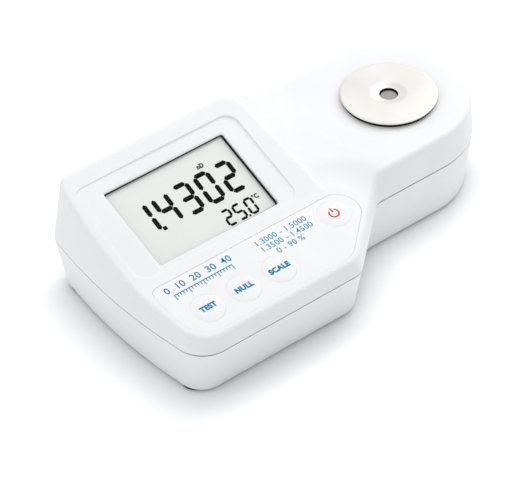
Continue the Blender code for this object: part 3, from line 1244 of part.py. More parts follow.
def build_well():
    """Steel sample ring, its gasket and nut, and the prism with its seal."""
    steel = make_material("polished_steel", (0.75, 0.74, 0.72), 0.15, 1.0)
    brass = make_material("nut_brass", (0.7, 0.55, 0.25), 0.3, 1.0)
    rubber = make_material("gasket_rubber", (0.02, 0.02, 0.02), 0.8)
    glass = make_material("prism_glass", (0.55, 0.56, 0.53), 0.05)
    centre = (WELL_X, WELL_Y)
    disc_low = RING_HEIGHT - RING_THICKNESS
    bowl_low = RING_HEIGHT - BOWL_DEPTH
    web_low = bowl_low - WELL_WEB
    neck_low = RING_HEIGHT - WELL_NECK_LENGTH
    turned("well_ring", [(WELL_HOLE_RADIUS, web_low), (WELL_BORE_RADIUS, web_low),
                         (WELL_BORE_RADIUS, neck_low), (WELL_NECK_RADIUS, neck_low),
                         (WELL_NECK_RADIUS, disc_low), (RING_RADIUS, disc_low),
                         (RING_RADIUS, RING_HEIGHT - RING_THICKNESS / 4),
                         (RING_RADIUS - RING_THICKNESS / 2, RING_HEIGHT), (BOWL_RADIUS, RING_HEIGHT),
                         (WELL_HOLE_RADIUS, bowl_low)], steel, centre, 56)
    tube_wall("well_gasket", WELL_NECK_RADIUS + GAP, WELL_GASKET_RADIUS, WELL_FLOOR_HEIGHT + GAP,
              disc_low - GAP, rubber, centre)
    nut_top = WELL_FLOOR_HEIGHT - ROOF - GAP
    nut = prism("well_nut", moved(circle(NUT_RADIUS, 6), *centre), nut_top - NUT_THICKNESS, nut_top)
    bore = post("bore", WELL_NECK_RADIUS + GAP, neck_low - OVERRUN, CASE_HEIGHT, None, centre, 48)
    combine(nut, [bore], "DIFFERENCE").data.materials.append(brass)
    seal_top = web_low - GAP
    seal_low = seal_top - PRISM_SEAL_THICKNESS
    tube_wall("prism_seal", PRISM_FACE_RADIUS + GAP, WELL_BORE_RADIUS - GAP, seal_low, seal_top, rubber,
              centre, 32)
    shoulder = seal_low - GAP
    prism_low = shoulder - PRISM_HEIGHT
    half = PRISM_LENGTH / 2
    side = [Vector((-half, prism_low + PRISM_CHAMFER)), Vector((-half + PRISM_CHAMFER, prism_low)),
            Vector((half - PRISM_CHAMFER, prism_low)), Vector((half, prism_low + PRISM_CHAMFER)),
            Vector((half, shoulder)), Vector((-half, shoulder))]
    body = prism("prism", side, -half, half)
    place(body, Matrix.Translation((*centre, 0)) @ Matrix.Rotation(math.pi / 2, 4, "X"))
    face = post("face", PRISM_FACE_RADIUS, shoulder - GAP, bowl_low - GAP, None, centre, 32)
    combine(face_out(body), [face], "UNION").data.materials.append(glass)
    return prism_low


def build_optics():
    """Housing under the well with lamp, lens, sensor, their boards and the temperature sensor."""
    black = make_material("optics_black", (0.03, 0.03, 0.03), 0.6)
    green = make_material("optics_board", (0.03, 0.22, 0.1), 0.4)
    lamp_clear = make_material("lamp_lens", (0.9, 0.75, 0.3), 0.1)
    lens_glass = make_material("lens_glass", (0.85, 0.9, 0.9), 0.03)
    sensor_black = make_material("sensor_ceramic", (0.1, 0.1, 0.12), 0.3)
    bead = make_material("thermistor_bead", (0.3, 0.2, 0.1), 0.4)
    low, high = optics_low(), optics_low() + OPTICS_HEIGHT
    half_x, half_y = OPTICS_LENGTH / 2, OPTICS_WIDTH / 2
    housing = box("optics_housing", (WELL_X - half_x, WELL_Y - half_y, low),
                  (WELL_X + half_x, WELL_Y + half_y, high))
    lens_radius = half_y - OPTICS_WALL
    axis_height = (low + high) / 2
    tunnel = place(prism("tunnel", circle(lens_radius, 32), -half_x - OVERRUN, half_x + OVERRUN),
                   Matrix.Translation((WELL_X, WELL_Y, axis_height)) @ Matrix.Rotation(math.pi / 2, 4, "Y"))
    well = post("prism_hole", WELL_BORE_RADIUS, axis_height + GAP, high + OVERRUN, None, (WELL_X, WELL_Y), 32)
    pocket_x = WELL_X - THERMISTOR_OFFSET
    pocket = post("pocket", THERMISTOR_RADIUS + GAP, high - THERMISTOR_LENGTH / 2, high + OVERRUN, None,
                  (pocket_x, WELL_Y + THERMISTOR_OFFSET / 2), 16)
    combine(housing, [tunnel, well, pocket], "DIFFERENCE").data.materials.append(black)
    post("temperature_sensor", THERMISTOR_RADIUS, high - THERMISTOR_LENGTH / 2 + GAP, high + GAP, bead,
         (pocket_x, WELL_Y + THERMISTOR_OFFSET / 2), 16)
    along = Matrix.Translation((WELL_X, WELL_Y, axis_height)) @ Matrix.Rotation(math.pi / 2, 4, "Y")
    lens_r = lens_radius - GAP
    rim = LENS_RIM / 2
    bulge = rim + LENS_CROWN * 3 / 4
    lens = turned("collimating_lens", [(0, -rim - LENS_CROWN), (lens_r / 2, -bulge), (lens_r, -rim),
                                       (lens_r, rim), (lens_r / 2, bulge), (0, rim + LENS_CROWN)],
                  lens_glass, (0.0, 0.0), 32)
    place(lens, along @ Matrix.Translation((0, 0, -LENS_OFFSET)))
    board = rounded_rectangle(OPTICS_HEIGHT - 2 * GAP, OPTICS_WIDTH, GAP, 1)
    for name, side in (("lamp_board", -1), ("sensor_board", 1)):
        near = side * (half_x + GAP)
        far = near + side * BOARD_THICKNESS
        place(prism(name, board, min(near, far), max(near, far), green), along)
    lamp_low = -half_x
    lamp_tip = lamp_low + LAMP_LENGTH
    lamp = turned("lamp", [(0, lamp_low), (LAMP_RADIUS, lamp_low), (LAMP_RADIUS, lamp_tip - LAMP_RADIUS),
                           (LAMP_RADIUS / 2, lamp_tip - LAMP_RADIUS / 4), (0, lamp_tip)],
                  lamp_clear, (0.0, 0.0), 20)
    place(lamp, along)
    sensor = prism("image_sensor", rounded_rectangle(SENSOR_WIDTH, SENSOR_LENGTH, GAP, 1),
                   half_x - SENSOR_THICKNESS, half_x, sensor_black)
    place(sensor, along)


def build_ribbons():
    """Flat cables from the main board to the keypad board and to the optics."""
    tan = make_material("ribbon_film", (0.75, 0.45, 0.12), 0.4)
    main_under = MAIN_BOARD_DEPTH + BOARD_THICKNESS + GAP + RIBBON_THICKNESS / 2
    keypad_under = KEYPAD_BOARD_DEPTH + BOARD_THICKNESS + GAP + RIBBON_THICKNESS / 2
    ribbon_x = KEYPAD_BOARD_STEP_X + RIBBON_WIDTH / 2
    front_edge = -MAIN_BOARD_FRONT - RIBBON_THICKNESS
    main_front = display_place() @ Vector((ribbon_x - WINDOW_CENTRE_X, front_edge, -main_under))
    main_inner = display_place() @ Vector((ribbon_x - WINDOW_CENTRE_X, front_edge + RIBBON_WIDTH / 2,
                                           -main_under))
    back_edge = KEYPAD_BOARD_BACK_Y / math.cos(KEYPAD_ANGLE) + RIBBON_THICKNESS
    pad_back = keypad_place(0, 0) @ Vector((ribbon_x, back_edge, -keypad_under))
    pad_inner = keypad_place(0, 0) @ Vector((ribbon_x, back_edge - RIBBON_WIDTH / 2, -keypad_under))
    strip_along("keypad_ribbon", [pad_inner, pad_back, main_front, main_inner], RIBBON_WIDTH,
                RIBBON_THICKNESS, tan)
    optics_x = WELL_X - OPTICS_LENGTH / 2 - BOARD_THICKNESS - RIBBON_THICKNESS / 2 - 4 * GAP
    axis = optics_low() + OPTICS_HEIGHT / 2
    board_x = WINDOW_LENGTH / 2 + BOSS_RADIUS - RIBBON_WIDTH
    start = display_place() @ Vector((board_x - RIBBON_WIDTH / 2, 0, -main_under))
    leave = display_place() @ Vector((board_x + RIBBON_WIDTH, 0, -main_under))
    start.z -= RIBBON_WIDTH / 2 * DISPLAY_SLOPE + GAP
    leave.z = start.z
    route = [start, leave, (optics_x - RIBBON_WIDTH / 2, start.y, axis + RIBBON_WIDTH),
             (optics_x, start.y, axis + RIBBON_WIDTH / 2), (optics_x, start.y, axis - RIBBON_WIDTH / 2)]
    strip_along("optics_ribbon", route, RIBBON_WIDTH, RIBBON_THICKNESS, tan)


def build_main():
    """Build every piece."""
    for item in list(bpy.data.objects):
        bpy.data.objects.remove(item)
    white = make_material("white_abs", (0.86, 0.87, 0.88), 0.45)
    build_upper_case(white)
    build_lower_case(white)
    build_case_closure(white)
    build_display()
    build_boards()
    build_keypad()
    build_battery()
    build_well()
    build_optics()
    build_ribbons()


build_main()
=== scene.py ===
"""Looks of a portable digital refractometer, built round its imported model.

All lengths are metres in the model's own frame: +X towards the sample well, +Y to the back, +Z up.
"""

import logging
import math
from dataclasses import dataclass, field
from enum import Enum

import bmesh
import bpy
import numpy as np
from mathutils import Matrix, Vector
from mathutils.geometry import delaunay_2d_cdt


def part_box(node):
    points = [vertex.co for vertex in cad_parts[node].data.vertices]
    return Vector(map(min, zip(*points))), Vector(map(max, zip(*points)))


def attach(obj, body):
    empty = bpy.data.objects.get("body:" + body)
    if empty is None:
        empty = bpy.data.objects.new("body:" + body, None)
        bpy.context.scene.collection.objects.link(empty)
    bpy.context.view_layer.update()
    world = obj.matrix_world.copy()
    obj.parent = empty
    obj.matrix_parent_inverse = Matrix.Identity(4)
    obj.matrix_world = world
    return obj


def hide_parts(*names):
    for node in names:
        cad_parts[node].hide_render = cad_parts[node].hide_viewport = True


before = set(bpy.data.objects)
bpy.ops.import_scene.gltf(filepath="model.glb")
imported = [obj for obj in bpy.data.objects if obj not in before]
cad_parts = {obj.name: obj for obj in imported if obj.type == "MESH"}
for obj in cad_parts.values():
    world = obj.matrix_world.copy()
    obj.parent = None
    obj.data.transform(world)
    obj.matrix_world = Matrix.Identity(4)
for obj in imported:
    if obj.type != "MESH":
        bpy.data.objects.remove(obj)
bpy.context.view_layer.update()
LOG = logging.getLogger("refractometer")
MM = 0.001
MM_PER_METRE = 1000
COLOUR_SPAN = (0.12, 0.38)  # grain times patch noise, from a finish's darker colour to its main one
PATCH_SPAN = (0.3, 0.7)  # patch noise, from a finish's smoother places to its rougher ones
WELD = 2e-6  # points nearer than this become one, which closes the seams
SLIVER = 1e-7  # lengths below this are dissolved or merged
SHORTEST = 1e-6  # a side shorter than this isn't cut, and a divisor in metres is at least this
TINY = 1e-9  # keeps a division from zero
BATCH = 3000  # points that a table of distances holds at once
INK_HALF = 0.00001  # half the thickness of anything printed
Loop = np.ndarray  # points in plan, one row each
Place = tuple[float, float]  # one point in plan


# Colour and finish

def linear(code: str) -> tuple[float, float, float, float]:
    """Turn an sRGB hex colour into the linear colour that a shader takes.

    Args:
        code: Colour such as "F0F1F2".

    Returns:
        Red, green, blue and an alpha of one.
    """
    parts = [int(code[i:i + 2], 16) / 255 for i in (0, 2, 4)]
    return (*((c / 12.92 if c <= 0.04045 else ((c + 0.055) / 1.055) ** 2.4) for c in parts), 1.0)


def add_node(tree: bpy.types.NodeTree, kind: str, inputs: dict | None = None,
             **settings: object) -> bpy.types.Node:
    """Add a node with its settings, socket values and links.

    Args:
        tree: Node tree that gets the node.
        kind: Blender's name of the node type.
        inputs: Socket name or number to a value, or to an output socket to link.
        settings: Attributes of the node itself.

    Returns:
        The new node.
    """
    node = tree.nodes.new(kind)
    for name, value in settings.items():
        setattr(node, name, value)
    for key, value in (inputs or {}).items():
        if isinstance(value, bpy.types.NodeSocket):
            tree.links.new(value, node.inputs[key])
        else:
            node.inputs[key].default_value = value
    return node


class Slot(Enum):
    """Material slot of the record."""

    CASE = "case_abs"
    FILM = "overlay_film"
    KEY = "key_white"
    RUBBER = "black_rubber"
    WINDOW = "window_clear"
    GLASS = "lcd_glass"
    STEEL = "polished_steel"


@dataclass(frozen=True)
class Finish:
    """Real material with its colour, gloss and surface grain.

    Attributes:
        name: Common name of the material and how it was made.
        colour: Its sRGB hex colour.
        shade: The colour of its darker grains.
        roughness: Mean roughness.
        spread: How far the roughness varies either way.
        metallic: One for a metal.
        ior: Index of refraction, left at the default for a metal.
        grain_mm: Width of one grain.
        depth_mm: Height of the grain.
        patch_mm: Width of the slow colour patches.
        alpha: Opacity.
        specular: Strength of the plain reflection, low for a matt ink.
    """

    name: str
    colour: str
    shade: str
    roughness: float = 0.5
    spread: float = 0.05
    metallic: float = 0.0
    ior: float = 1.5
    grain_mm: float = 0.4
    depth_mm: float = 0.01
    patch_mm: float = 12.0
    alpha: float = 1.0
    specular: float = 0.5

    def material(self) -> bpy.types.Material:
        """Material of this finish, made once: fine grain over slow patches vary colour, gloss and height.

        Returns:
            The material.
        """
        found = bpy.data.materials.get(self.name)
        if found:
            return found
        material = bpy.data.materials.new(self.name)
        material.use_nodes = True
        tree = material.node_tree
        shader = tree.nodes["Principled BSDF"]
        place = add_node(tree, "ShaderNodeTexCoord").outputs["Object"]
        grain, patch = (
            add_node(tree, "ShaderNodeTexNoise", {"Vector": place, "Scale": MM_PER_METRE / width,
                                                  "Detail": detail}).outputs["Fac"]
            for width, detail in ((self.grain_mm, 2.0), (self.patch_mm, 3.0)))
        mixed = add_node(tree, "ShaderNodeMath", {0: grain, 1: patch}, operation="MULTIPLY")
        ramp = add_node(tree, "ShaderNodeValToRGB", {"Fac": mixed.outputs[0]})
        low, high = ramp.color_ramp.elements
        low.position, high.position = COLOUR_SPAN
        low.color, high.color = linear(self.shade), linear(self.colour)
        tree.links.new(ramp.outputs["Color"], shader.inputs["Base Color"])
        rough = add_node(tree, "ShaderNodeMapRange", {
            "Value": patch, "From Min": PATCH_SPAN[0], "From Max": PATCH_SPAN[1],
            "To Min": self.roughness - self.spread, "To Max": self.roughness + self.spread})
        tree.links.new(rough.outputs["Result"], shader.inputs["Roughness"])
        bump = add_node(tree, "ShaderNodeBump", {
            "Height": grain, "Distance": self.depth_mm * MM, "Strength": 1.0})
        tree.links.new(bump.outputs["Normal"], shader.inputs["Normal"])
        for socket, value in (("Metallic", self.metallic), ("IOR", self.ior), ("Alpha", self.alpha),
                              ("Specular IOR Level", self.specular)):
            shader.inputs[socket].default_value = value
        return material


# Each finish with what it gives the eye. A pixel of the photograph's view is about 0.4 mm wide, so a grain
# that is finer on the real material is drawn at 0.3 mm or coarser.

# Case plastic, moulded with a spark-eroded grain: soft, even white with broad weak highlights.
ABS = Finish("abs_spark_textured", "F7F7F8", "F2F2F3", 0.5, 0.05, ior=1.54, grain_mm=0.45, depth_mm=0.006,
             patch_mm=25.0, specular=0.35)
# Keypad overlay, satin on its face: nearly the case's white, flatter and a little smoother.
FILM = Finish("polyester_overlay_film", "F6F7F7", "F2F3F3", 0.45, 0.04, ior=1.57, grain_mm=0.6,
              depth_mm=0.003, patch_mm=18.0, specular=0.35)
# Seals and feet: near-black lines that never shine.
RUBBER = Finish("black_nitrile_rubber", "131314", "0B0B0C", 0.7, 0.08, ior=1.52, grain_mm=0.3, depth_mm=0.02,
                specular=0.2)
# Sample ring, finely polished: bright, with blurred reflections of the pale room. Its colour is lighter than
# bare stainless steel usually is, to match the photograph's bright ring.
STEEL = Finish("stainless_steel_polished", "E9E7E3", "E3E1DD", 0.34, 0.03, 1.0, grain_mm=0.35, depth_mm=0.001)
# Case screws, plated: duller and greyer than the ring.
SCREW_STEEL = Finish("zinc_plated_steel", "B4B6B8", "8E9092", 0.35, 0.08, 1.0, grain_mm=0.5, depth_mm=0.01)
# Clamping nut inside, turned: warm yellow with a mild shine.
BRASS = Finish("brass_turned", "C9A75A", "A88840", 0.3, 0.06, 1.0, grain_mm=0.4, depth_mm=0.01)
# Prism, polished: an even mid grey disc at the bottom of the bowl, as the photograph shows it.
GLASS = Finish("polished_optical_glass", "ACACA8", "A2A29E", 0.2, 0.02, ior=1.72, grain_mm=2.0,
               depth_mm=0.0005, specular=0.1)
# Lens inside, ground and polished: clear with a faint green cast.
LENS = Finish("crown_glass_lens", "DDE6E4", "CFDAD8", 0.05, 0.02, ior=1.52, grain_mm=2.0, depth_mm=0.0005,
              alpha=0.5)
# Window over the display, cast: all but invisible, so that only its gloss tells of it.
PANE = Finish("acrylic_window_pane", "F4F7F6", "EEF2F1", 0.05, 0.01, ior=1.49, grain_mm=3.0, depth_mm=0.0005,
              patch_mm=30.0, alpha=0.004)
# Display glass with its white reflector: a pale neutral ground for the readings.
LCD_FACE = Finish("liquid_crystal_glass", "EFF0ED", "EAEBE8", 0.3, 0.04, ior=1.52, grain_mm=0.5,
                  depth_mm=0.001, patch_mm=30.0)
# Switched-on segments: flat black with hardly a reflection.
LCD_INK = Finish("liquid_crystal_segment", "0E0E0F", "0A0A0B", 0.35, 0.04, ior=1.52, grain_mm=0.4,
                 depth_mm=0.001, specular=0.02)
# Screen-printed words and scale: saturated matt blue.
BLUE_INK = Finish("blue_screen_ink", "0086B4", "0080AB", 0.45, 0.05, ior=1.5, grain_mm=0.4, depth_mm=0.002,
                  specular=0.05)
# Screen-printed number ranges: the same blue, thinner and paler.
PALE_INK = Finish("pale_blue_screen_ink", "3292B8", "2C8AB0", 0.45, 0.05, ior=1.5, grain_mm=0.4,
                  depth_mm=0.002, specular=0.05)
# Screen-printed power sign: matt orange red.
RED_INK = Finish("orange_screen_ink", "DA4A2E", "D34428", 0.45, 0.05, ior=1.5, grain_mm=0.4, depth_mm=0.002,
                 specular=0.05)
# Circuit boards under solder mask: satin dark green, faintly uneven.
BOARD = Finish("solder_mask_on_glass_epoxy", "1F6B3C", "195A32", 0.35, 0.08, ior=1.55, grain_mm=1.2,
               depth_mm=0.01)
# Inner housings, moulded and left plain: even near-black with a dull sheen.
BLACK_ABS = Finish("black_abs_moulded", "1E1F21", "151617", 0.5, 0.06, ior=1.54, grain_mm=0.5, depth_mm=0.01)
# Chip bodies, moulded with filler: flat charcoal.
CHIP = Finish("epoxy_moulding_compound", "26272A", "1C1D20", 0.55, 0.06, ior=1.55, grain_mm=0.3,
              depth_mm=0.01)
# Layered connector strips: dull pink with darker flecks.
SILICONE = Finish("striped_silicone_connector", "D9A0A8", "B97F88", 0.55, 0.06, ior=1.41, grain_mm=0.8,
                  depth_mm=0.01)
# Lamp body, cast: glassy and half clear.
LAMP = Finish("water_clear_epoxy", "EDEFF0", "E2E5E6", 0.08, 0.02, ior=1.55, grain_mm=1.0, depth_mm=0.001,
              alpha=0.6)
# Temperature bead, dipped: glossy brown.
BEAD = Finish("epoxy_dipped_thermistor", "5B3C22", "472D18", 0.3, 0.05, ior=1.55, grain_mm=0.4, depth_mm=0.02)
# Battery can, lacquered: dark grey with metal under it.
BATTERY = Finish("lacquered_battery_steel", "2E3034", "232529", 0.3, 0.06, 1.0, grain_mm=0.8, depth_mm=0.01)
# Battery leads, extruded: smooth coloured insulation.
RED_WIRE = Finish("red_pvc_insulation", "B3211F", "9C1B1A", 0.4, 0.05, ior=1.53, grain_mm=0.5, depth_mm=0.01)
BLACK_WIRE = Finish("black_pvc_insulation", "1B1B1C", "121213", 0.4, 0.05, ior=1.53, grain_mm=0.5,
                    depth_mm=0.01)
# Ribbon cables, laminated: glossy amber.
POLYIMIDE = Finish("polyimide_ribbon_film", "C98A3A", "B47628", 0.3, 0.06, ior=1.7, grain_mm=0.9,
                   depth_mm=0.005)

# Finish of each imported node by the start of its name; the longest start that fits holds.
INNER_FINISHES = {
    "battery": BATTERY, "battery_cover": ABS, "battery_cup": ABS, "battery_lead_black": BLACK_WIRE,
    "battery_lead_red": RED_WIRE, "battery_snap": BLACK_ABS, "case_seal": RUBBER, "cover_seal": RUBBER,
    "collimating_lens": LENS, "foot": RUBBER, "case_screw": SCREW_STEEL, "image_sensor": CHIP,
    "keypad_board": BOARD, "keypad_board_screw": SCREW_STEEL, "keypad_ribbon": POLYIMIDE, "lamp": LAMP,
    "lamp_board": BOARD, "lcd_carrier": BLACK_ABS, "lcd_contact_strip": SILICONE, "lcd_panel": LCD_FACE,
    "main_board": BOARD, "main_board_screw": SCREW_STEEL, "optics_housing": BLACK_ABS,
    "optics_ribbon": POLYIMIDE, "prism": GLASS, "prism_seal": RUBBER, "processor": CHIP,
    "sensor_board": BOARD, "switch": BLACK_ABS, "temperature_sensor": BEAD, "well_gasket": RUBBER,
    "well_nut": BRASS}


# Shapes on grids

def unit(vector: np.ndarray) -> np.ndarray:
    """Vector of length one along the given vector."""
    return vector / np.hypot(*vector)


def rounded_corners(corners: list[tuple[float, float, float, int]]) -> Loop:
    """Closed polygon whose corners are arcs.

    An arc's centre lies on the corner's bisector, radius / sin(half the angle) away, and its points are the
    first tangent point turned about that centre in equal steps.

    Args:
        corners: For each corner x, y, arc radius and number of arc segments, anticlockwise.

    Returns:
        Points in plan, one row each.
    """
    pieces = []
    for index, (x, y, radius, segments) in enumerate(corners):
        here = np.array((x, y))
        if segments == 0:
            pieces.append(here[None])
            continue
        before = unit(np.array(corners[index - 1][:2]) - here)
        after = unit(np.array(corners[(index + 1) % len(corners)][:2]) - here)
        half = math.acos(np.clip(before @ after, -1.0, 1.0)) / 2
        middle = here + unit(before + after) * radius / math.sin(half)
        arm = here + before * radius / math.tan(half) - middle
        side = 1.0 if before[0] * after[1] - before[1] * after[0] < 0 else -1.0
        turn = side * (math.pi - 2 * half) * np.linspace(0, 1, segments + 1)
        x_part = np.cos(turn) * arm[0] - np.sin(turn) * arm[1]
        y_part = np.sin(turn) * arm[0] + np.cos(turn) * arm[1]
        pieces.append(middle + np.stack([x_part, y_part], axis=1))
    return np.concatenate(pieces)


def rounded_box(length: float, depth: float, radius: float, segments: int = 8) -> Loop:
    """Rectangle with round corners, centred on the origin.

    Args:
        length: Size along x.
        depth: Size along y.
        radius: Corner radius.
        segments: Steps in each corner.

    Returns:
        Points in plan.
    """
    x, y = length / 2, depth / 2
    return rounded_corners([(-x, -y, radius, segments), (x, -y, radius, segments), (x, y, radius, segments),
                            (-x, y, radius, segments)])


def circle(radius: float, centre: Place = (0.0, 0.0), segments: int = 96) -> Loop:
    """Circle: centre + radius times (cos a, sin a).

    Args:
        radius: Its radius.
        centre: Its middle.
        segments: Number of points.

    Returns:
        Points in plan.
    """
    angle = np.linspace(0, math.tau, segments, endpoint=False)
    return np.stack([centre[0] + radius * np.cos(angle), centre[1] + radius * np.sin(angle)], axis=1)


def side_counts(loop: Loop, step: float) -> np.ndarray:
    """Number of equal steps, each no longer than a step, that cut every side of a loop."""
    length = np.hypot(*(np.roll(loop, -1, axis=0) - loop).T)
    return np.where(length > SHORTEST, np.ceil(length / step), 0).astype(int)


def spread(loop: Loop, counts: np.ndarray) -> Loop:
    """Loop with each side cut into its own number of equal steps.

    Args:
        loop: Corners.
        counts: Steps of each side, from a corner to the next.

    Returns:
        Points, start + side times step number / count.
    """
    first = np.repeat(np.cumsum(counts) - counts, counts)
    share = (np.arange(counts.sum()) - first) / np.repeat(counts, counts)
    side = np.roll(loop, -1, axis=0) - loop
    return np.repeat(loop, counts, axis=0) + np.repeat(side, counts, axis=0) * share[:, None]


def inside(points: np.ndarray, loop: Loop) -> np.ndarray:
    """Whether each point lies in a loop: an odd number of its sides cross the ray towards +x.

    Args:
        points: Points in plan.
        loop: Closed polygon.

    Returns:
        One truth value for each point.
    """
    found = []
    start, end = loop, np.roll(loop, -1, axis=0)
    rise = np.where(end[:, 1] == start[:, 1], 1.0, end[:, 1] - start[:, 1])
    for part in np.array_split(points, max(1, len(points) // BATCH)):
        x, y = part[:, :1], part[:, 1:2]
        crosses = (start[:, 1] > y) != (end[:, 1] > y)
        reach = start[:, 0] + (end[:, 0] - start[:, 0]) * (y - start[:, 1]) / rise
        found.append(np.count_nonzero(crosses & (x < reach), axis=1) % 2 == 1)
    return np.concatenate(found)


def distance_to(points: np.ndarray, loop: Loop) -> np.ndarray:
    """Distance from each point to the nearest side of a loop: the point less its foot on the side.

    Args:
        points: Points in plan.
        loop: Closed polygon.

    Returns:
        One distance for each point.
    """
    found = []
    side = np.roll(loop, -1, axis=0) - loop
    square = np.maximum((side * side).sum(axis=1), TINY ** 2)
    for part in np.array_split(points, max(1, len(points) // BATCH)):
        dx, dy = part[:, :1] - loop[:, 0], part[:, 1:2] - loop[:, 1]
        share = np.clip((dx * side[:, 0] + dy * side[:, 1]) / square, 0.0, 1.0)
        found.append(np.hypot(dx - share * side[:, 0], dy - share * side[:, 1]).min(axis=1))
    return np.concatenate(found)


def triangulate(boundary: Loop, holes: list[Loop], lines: tuple[Loop, ...] = (),
                scatter: np.ndarray | None = None, clearance: float = 0.0) -> tuple[np.ndarray, np.ndarray]:
    """Constrained Delaunay triangles of a plan with holes.

    Args:
        boundary: Outer loop.
        holes: Loops left empty.
        lines: Loops that triangles keep to on both sides.
        scatter: Loose points, dropped where they come within the clearance of a loop.
        clearance: That distance.

    Returns:
        Points, the loops' own first in the given order, and the triangles' indices.
    """
    loops = [boundary, *holes, *lines]
    points = np.concatenate(loops)
    if scatter is not None:
        loose = inside(scatter, boundary)
        for loop in loops:
            loose[loose] = distance_to(scatter[loose], loop) > clearance
        for hole in holes:
            loose[loose] = ~inside(scatter[loose], hole)
        points = np.concatenate([points, scatter[loose]])
    starts = np.cumsum([0] + [len(loop) for loop in loops])
    edges = [np.stack([np.arange(len(loop)), np.roll(np.arange(len(loop)), -1)], axis=1) + start
             for loop, start in zip(loops, starts)]
    plan, _, triangles, _, _, _ = delaunay_2d_cdt([Vector(p) for p in points.tolist()],
                                                  np.concatenate(edges).tolist(), [], 0, SLIVER)
    plan, triangles = np.array(plan), np.array(triangles)
    if len(plan) != len(points):
        LOG.warning("the plan gained or lost points: %d of %d", len(plan), len(points))
    middle = plan[triangles].mean(axis=1)
    shown = inside(middle, boundary)
    for hole in holes:
        shown &= ~inside(middle, hole)
    return plan, triangles[shown]


@dataclass
class Surface:
    """Mesh in the making: arrays of points and of faces with three or four corners."""

    points: list[np.ndarray] = field(default_factory=list)
    faces: list[list[int]] = field(default_factory=list)
    count: int = 0

    def add(self, points: np.ndarray) -> np.ndarray:
        """Add points.

        Args:
            points: One row each.

        Returns:
            Their indices.
        """
        self.points.append(points)
        self.count += len(points)
        return np.arange(self.count - len(points), self.count)

    def rings(self, rings: np.ndarray, closed: bool = True) -> np.ndarray:
        """Join neighbouring rows of a grid of points by quads.

        Args:
            rings: Array of rows, points in a row and coordinates.
            closed: Whether each row's end joins its start.

        Returns:
            Indices, one row for each ring.
        """
        index = self.add(rings.reshape(-1, 3)).reshape(rings.shape[:2])
        here, there = index, np.roll(index, -1, axis=1)
        if not closed:
            here, there = here[:, :-1], there[:, :-1]
        quads = np.stack([here[:-1], there[:-1], there[1:], here[1:]], axis=-1)
        self.faces += quads.reshape(-1, 4).tolist()
        return index

    def triangles(self, points: np.ndarray, faces: np.ndarray) -> np.ndarray:
        """Add points with the triangles between them.

        Args:
            points: One row each.
            faces: Row numbers, three for each triangle.

        Returns:
            The points' indices.
        """
        index = self.add(points)
        self.faces += (faces + index[0]).tolist()
        return index

    def cap(self, ring: np.ndarray) -> None:
        """Close a ring of indices by one flat face."""
        self.faces.append(ring.tolist())

    def make(self, name: str, finish: Finish, body: str, nodes: tuple[str, ...] = (),
             wall: float = 0.0, sharp: float = 32.0, up: bool = True) -> bpy.types.Object:
        """Mesh object with merged seams, outward faces and smooth shading.

        Args:
            name: Name of the piece.
            finish: Its finish.
            body: Body that it rides on.
            nodes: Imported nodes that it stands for.
            wall: Thickness given inwards, for an open skin.
            sharp: Angle in degrees past which an edge stays sharp.
            up: Whether the largest part of an open skin faces up.

        Returns:
            The object.
        """
        mesh = bpy.data.meshes.new(name)
        mesh.from_pydata(np.concatenate(self.points).tolist(), [], self.faces)
        work = bmesh.new()
        work.from_mesh(mesh)
        bmesh.ops.remove_doubles(work, verts=work.verts, dist=WELD)
        bmesh.ops.dissolve_degenerate(work, dist=SLIVER, edges=work.edges)
        bmesh.ops.recalc_face_normals(work, faces=work.faces)
        if wall:
            height = sum(face.normal.z * face.calc_area() for face in work.faces)
            if (height > 0) != up:
                bmesh.ops.reverse_faces(work, faces=work.faces)
        work.to_mesh(mesh)
        work.free()
        mesh.shade_smooth()
        mesh.set_sharp_from_angle(angle=math.radians(sharp))
        piece = bpy.data.objects.new(name, mesh)
        bpy.context.scene.collection.objects.link(piece)
        mesh.materials.append(finish.material())
        if wall:
            shell = piece.modifiers.new("wall", "SOLIDIFY")
            shell.thickness = wall
            shell.offset = -1.0
        declare(piece, body, nodes)
        return piece


def declare(piece: bpy.types.Object, body: str, nodes: tuple[str, ...] = ()) -> None:
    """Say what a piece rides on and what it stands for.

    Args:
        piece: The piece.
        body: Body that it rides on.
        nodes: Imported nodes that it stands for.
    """
    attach(piece, body)
    if nodes:
        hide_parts(*nodes)
    LOG.info("%s on %s: %d points", piece.name, body, len(piece.data.vertices))


def lathe(surface: Surface, profile: list[Place], centre: Place, segments: int = 128) -> np.ndarray:
    """Turned surface: each profile point (radius, height) goes round the centre's upright axis.

    Args:
        surface: Surface that gets it.
        profile: Radii and heights.
        centre: Axis in plan.
        segments: Steps round.

    Returns:
        Indices, one row for each profile point.
    """
    outline = np.array(profile)
    ring = circle(1.0, segments=segments)
    x = centre[0] + outline[:, :1] * ring[:, 0]
    y = centre[1] + outline[:, :1] * ring[:, 1]
    z = np.repeat(outline[:, 1:], segments, axis=1)
    return surface.rings(np.stack([x, y, z], axis=-1))


def at_height(loop: Loop, height: float | np.ndarray) -> np.ndarray:
    """Plan points lifted to a height each."""
    return np.column_stack([loop, np.broadcast_to(height, len(loop))])


def soft_max(a: np.ndarray, b: np.ndarray, reach: float | np.ndarray) -> np.ndarray:
    """Greater of two heights, with a parabola where they differ by less than the reach."""
    return np.maximum(a, b) + np.maximum(reach - np.abs(a - b), 0.0) ** 2 / (4 * reach)


def soft_min(a: np.ndarray, b: np.ndarray, reach: float | np.ndarray) -> np.ndarray:
    """Smaller of two heights, with a parabola where they differ by less than the reach."""
    return -soft_max(-a, -b, reach)


def smooth_step(value: np.ndarray) -> np.ndarray:
    """Share from zero to one with level ends, 3 s² - 2 s³."""
    share = np.clip(value, 0.0, 1.0)
    return share * share * (3 - 2 * share)


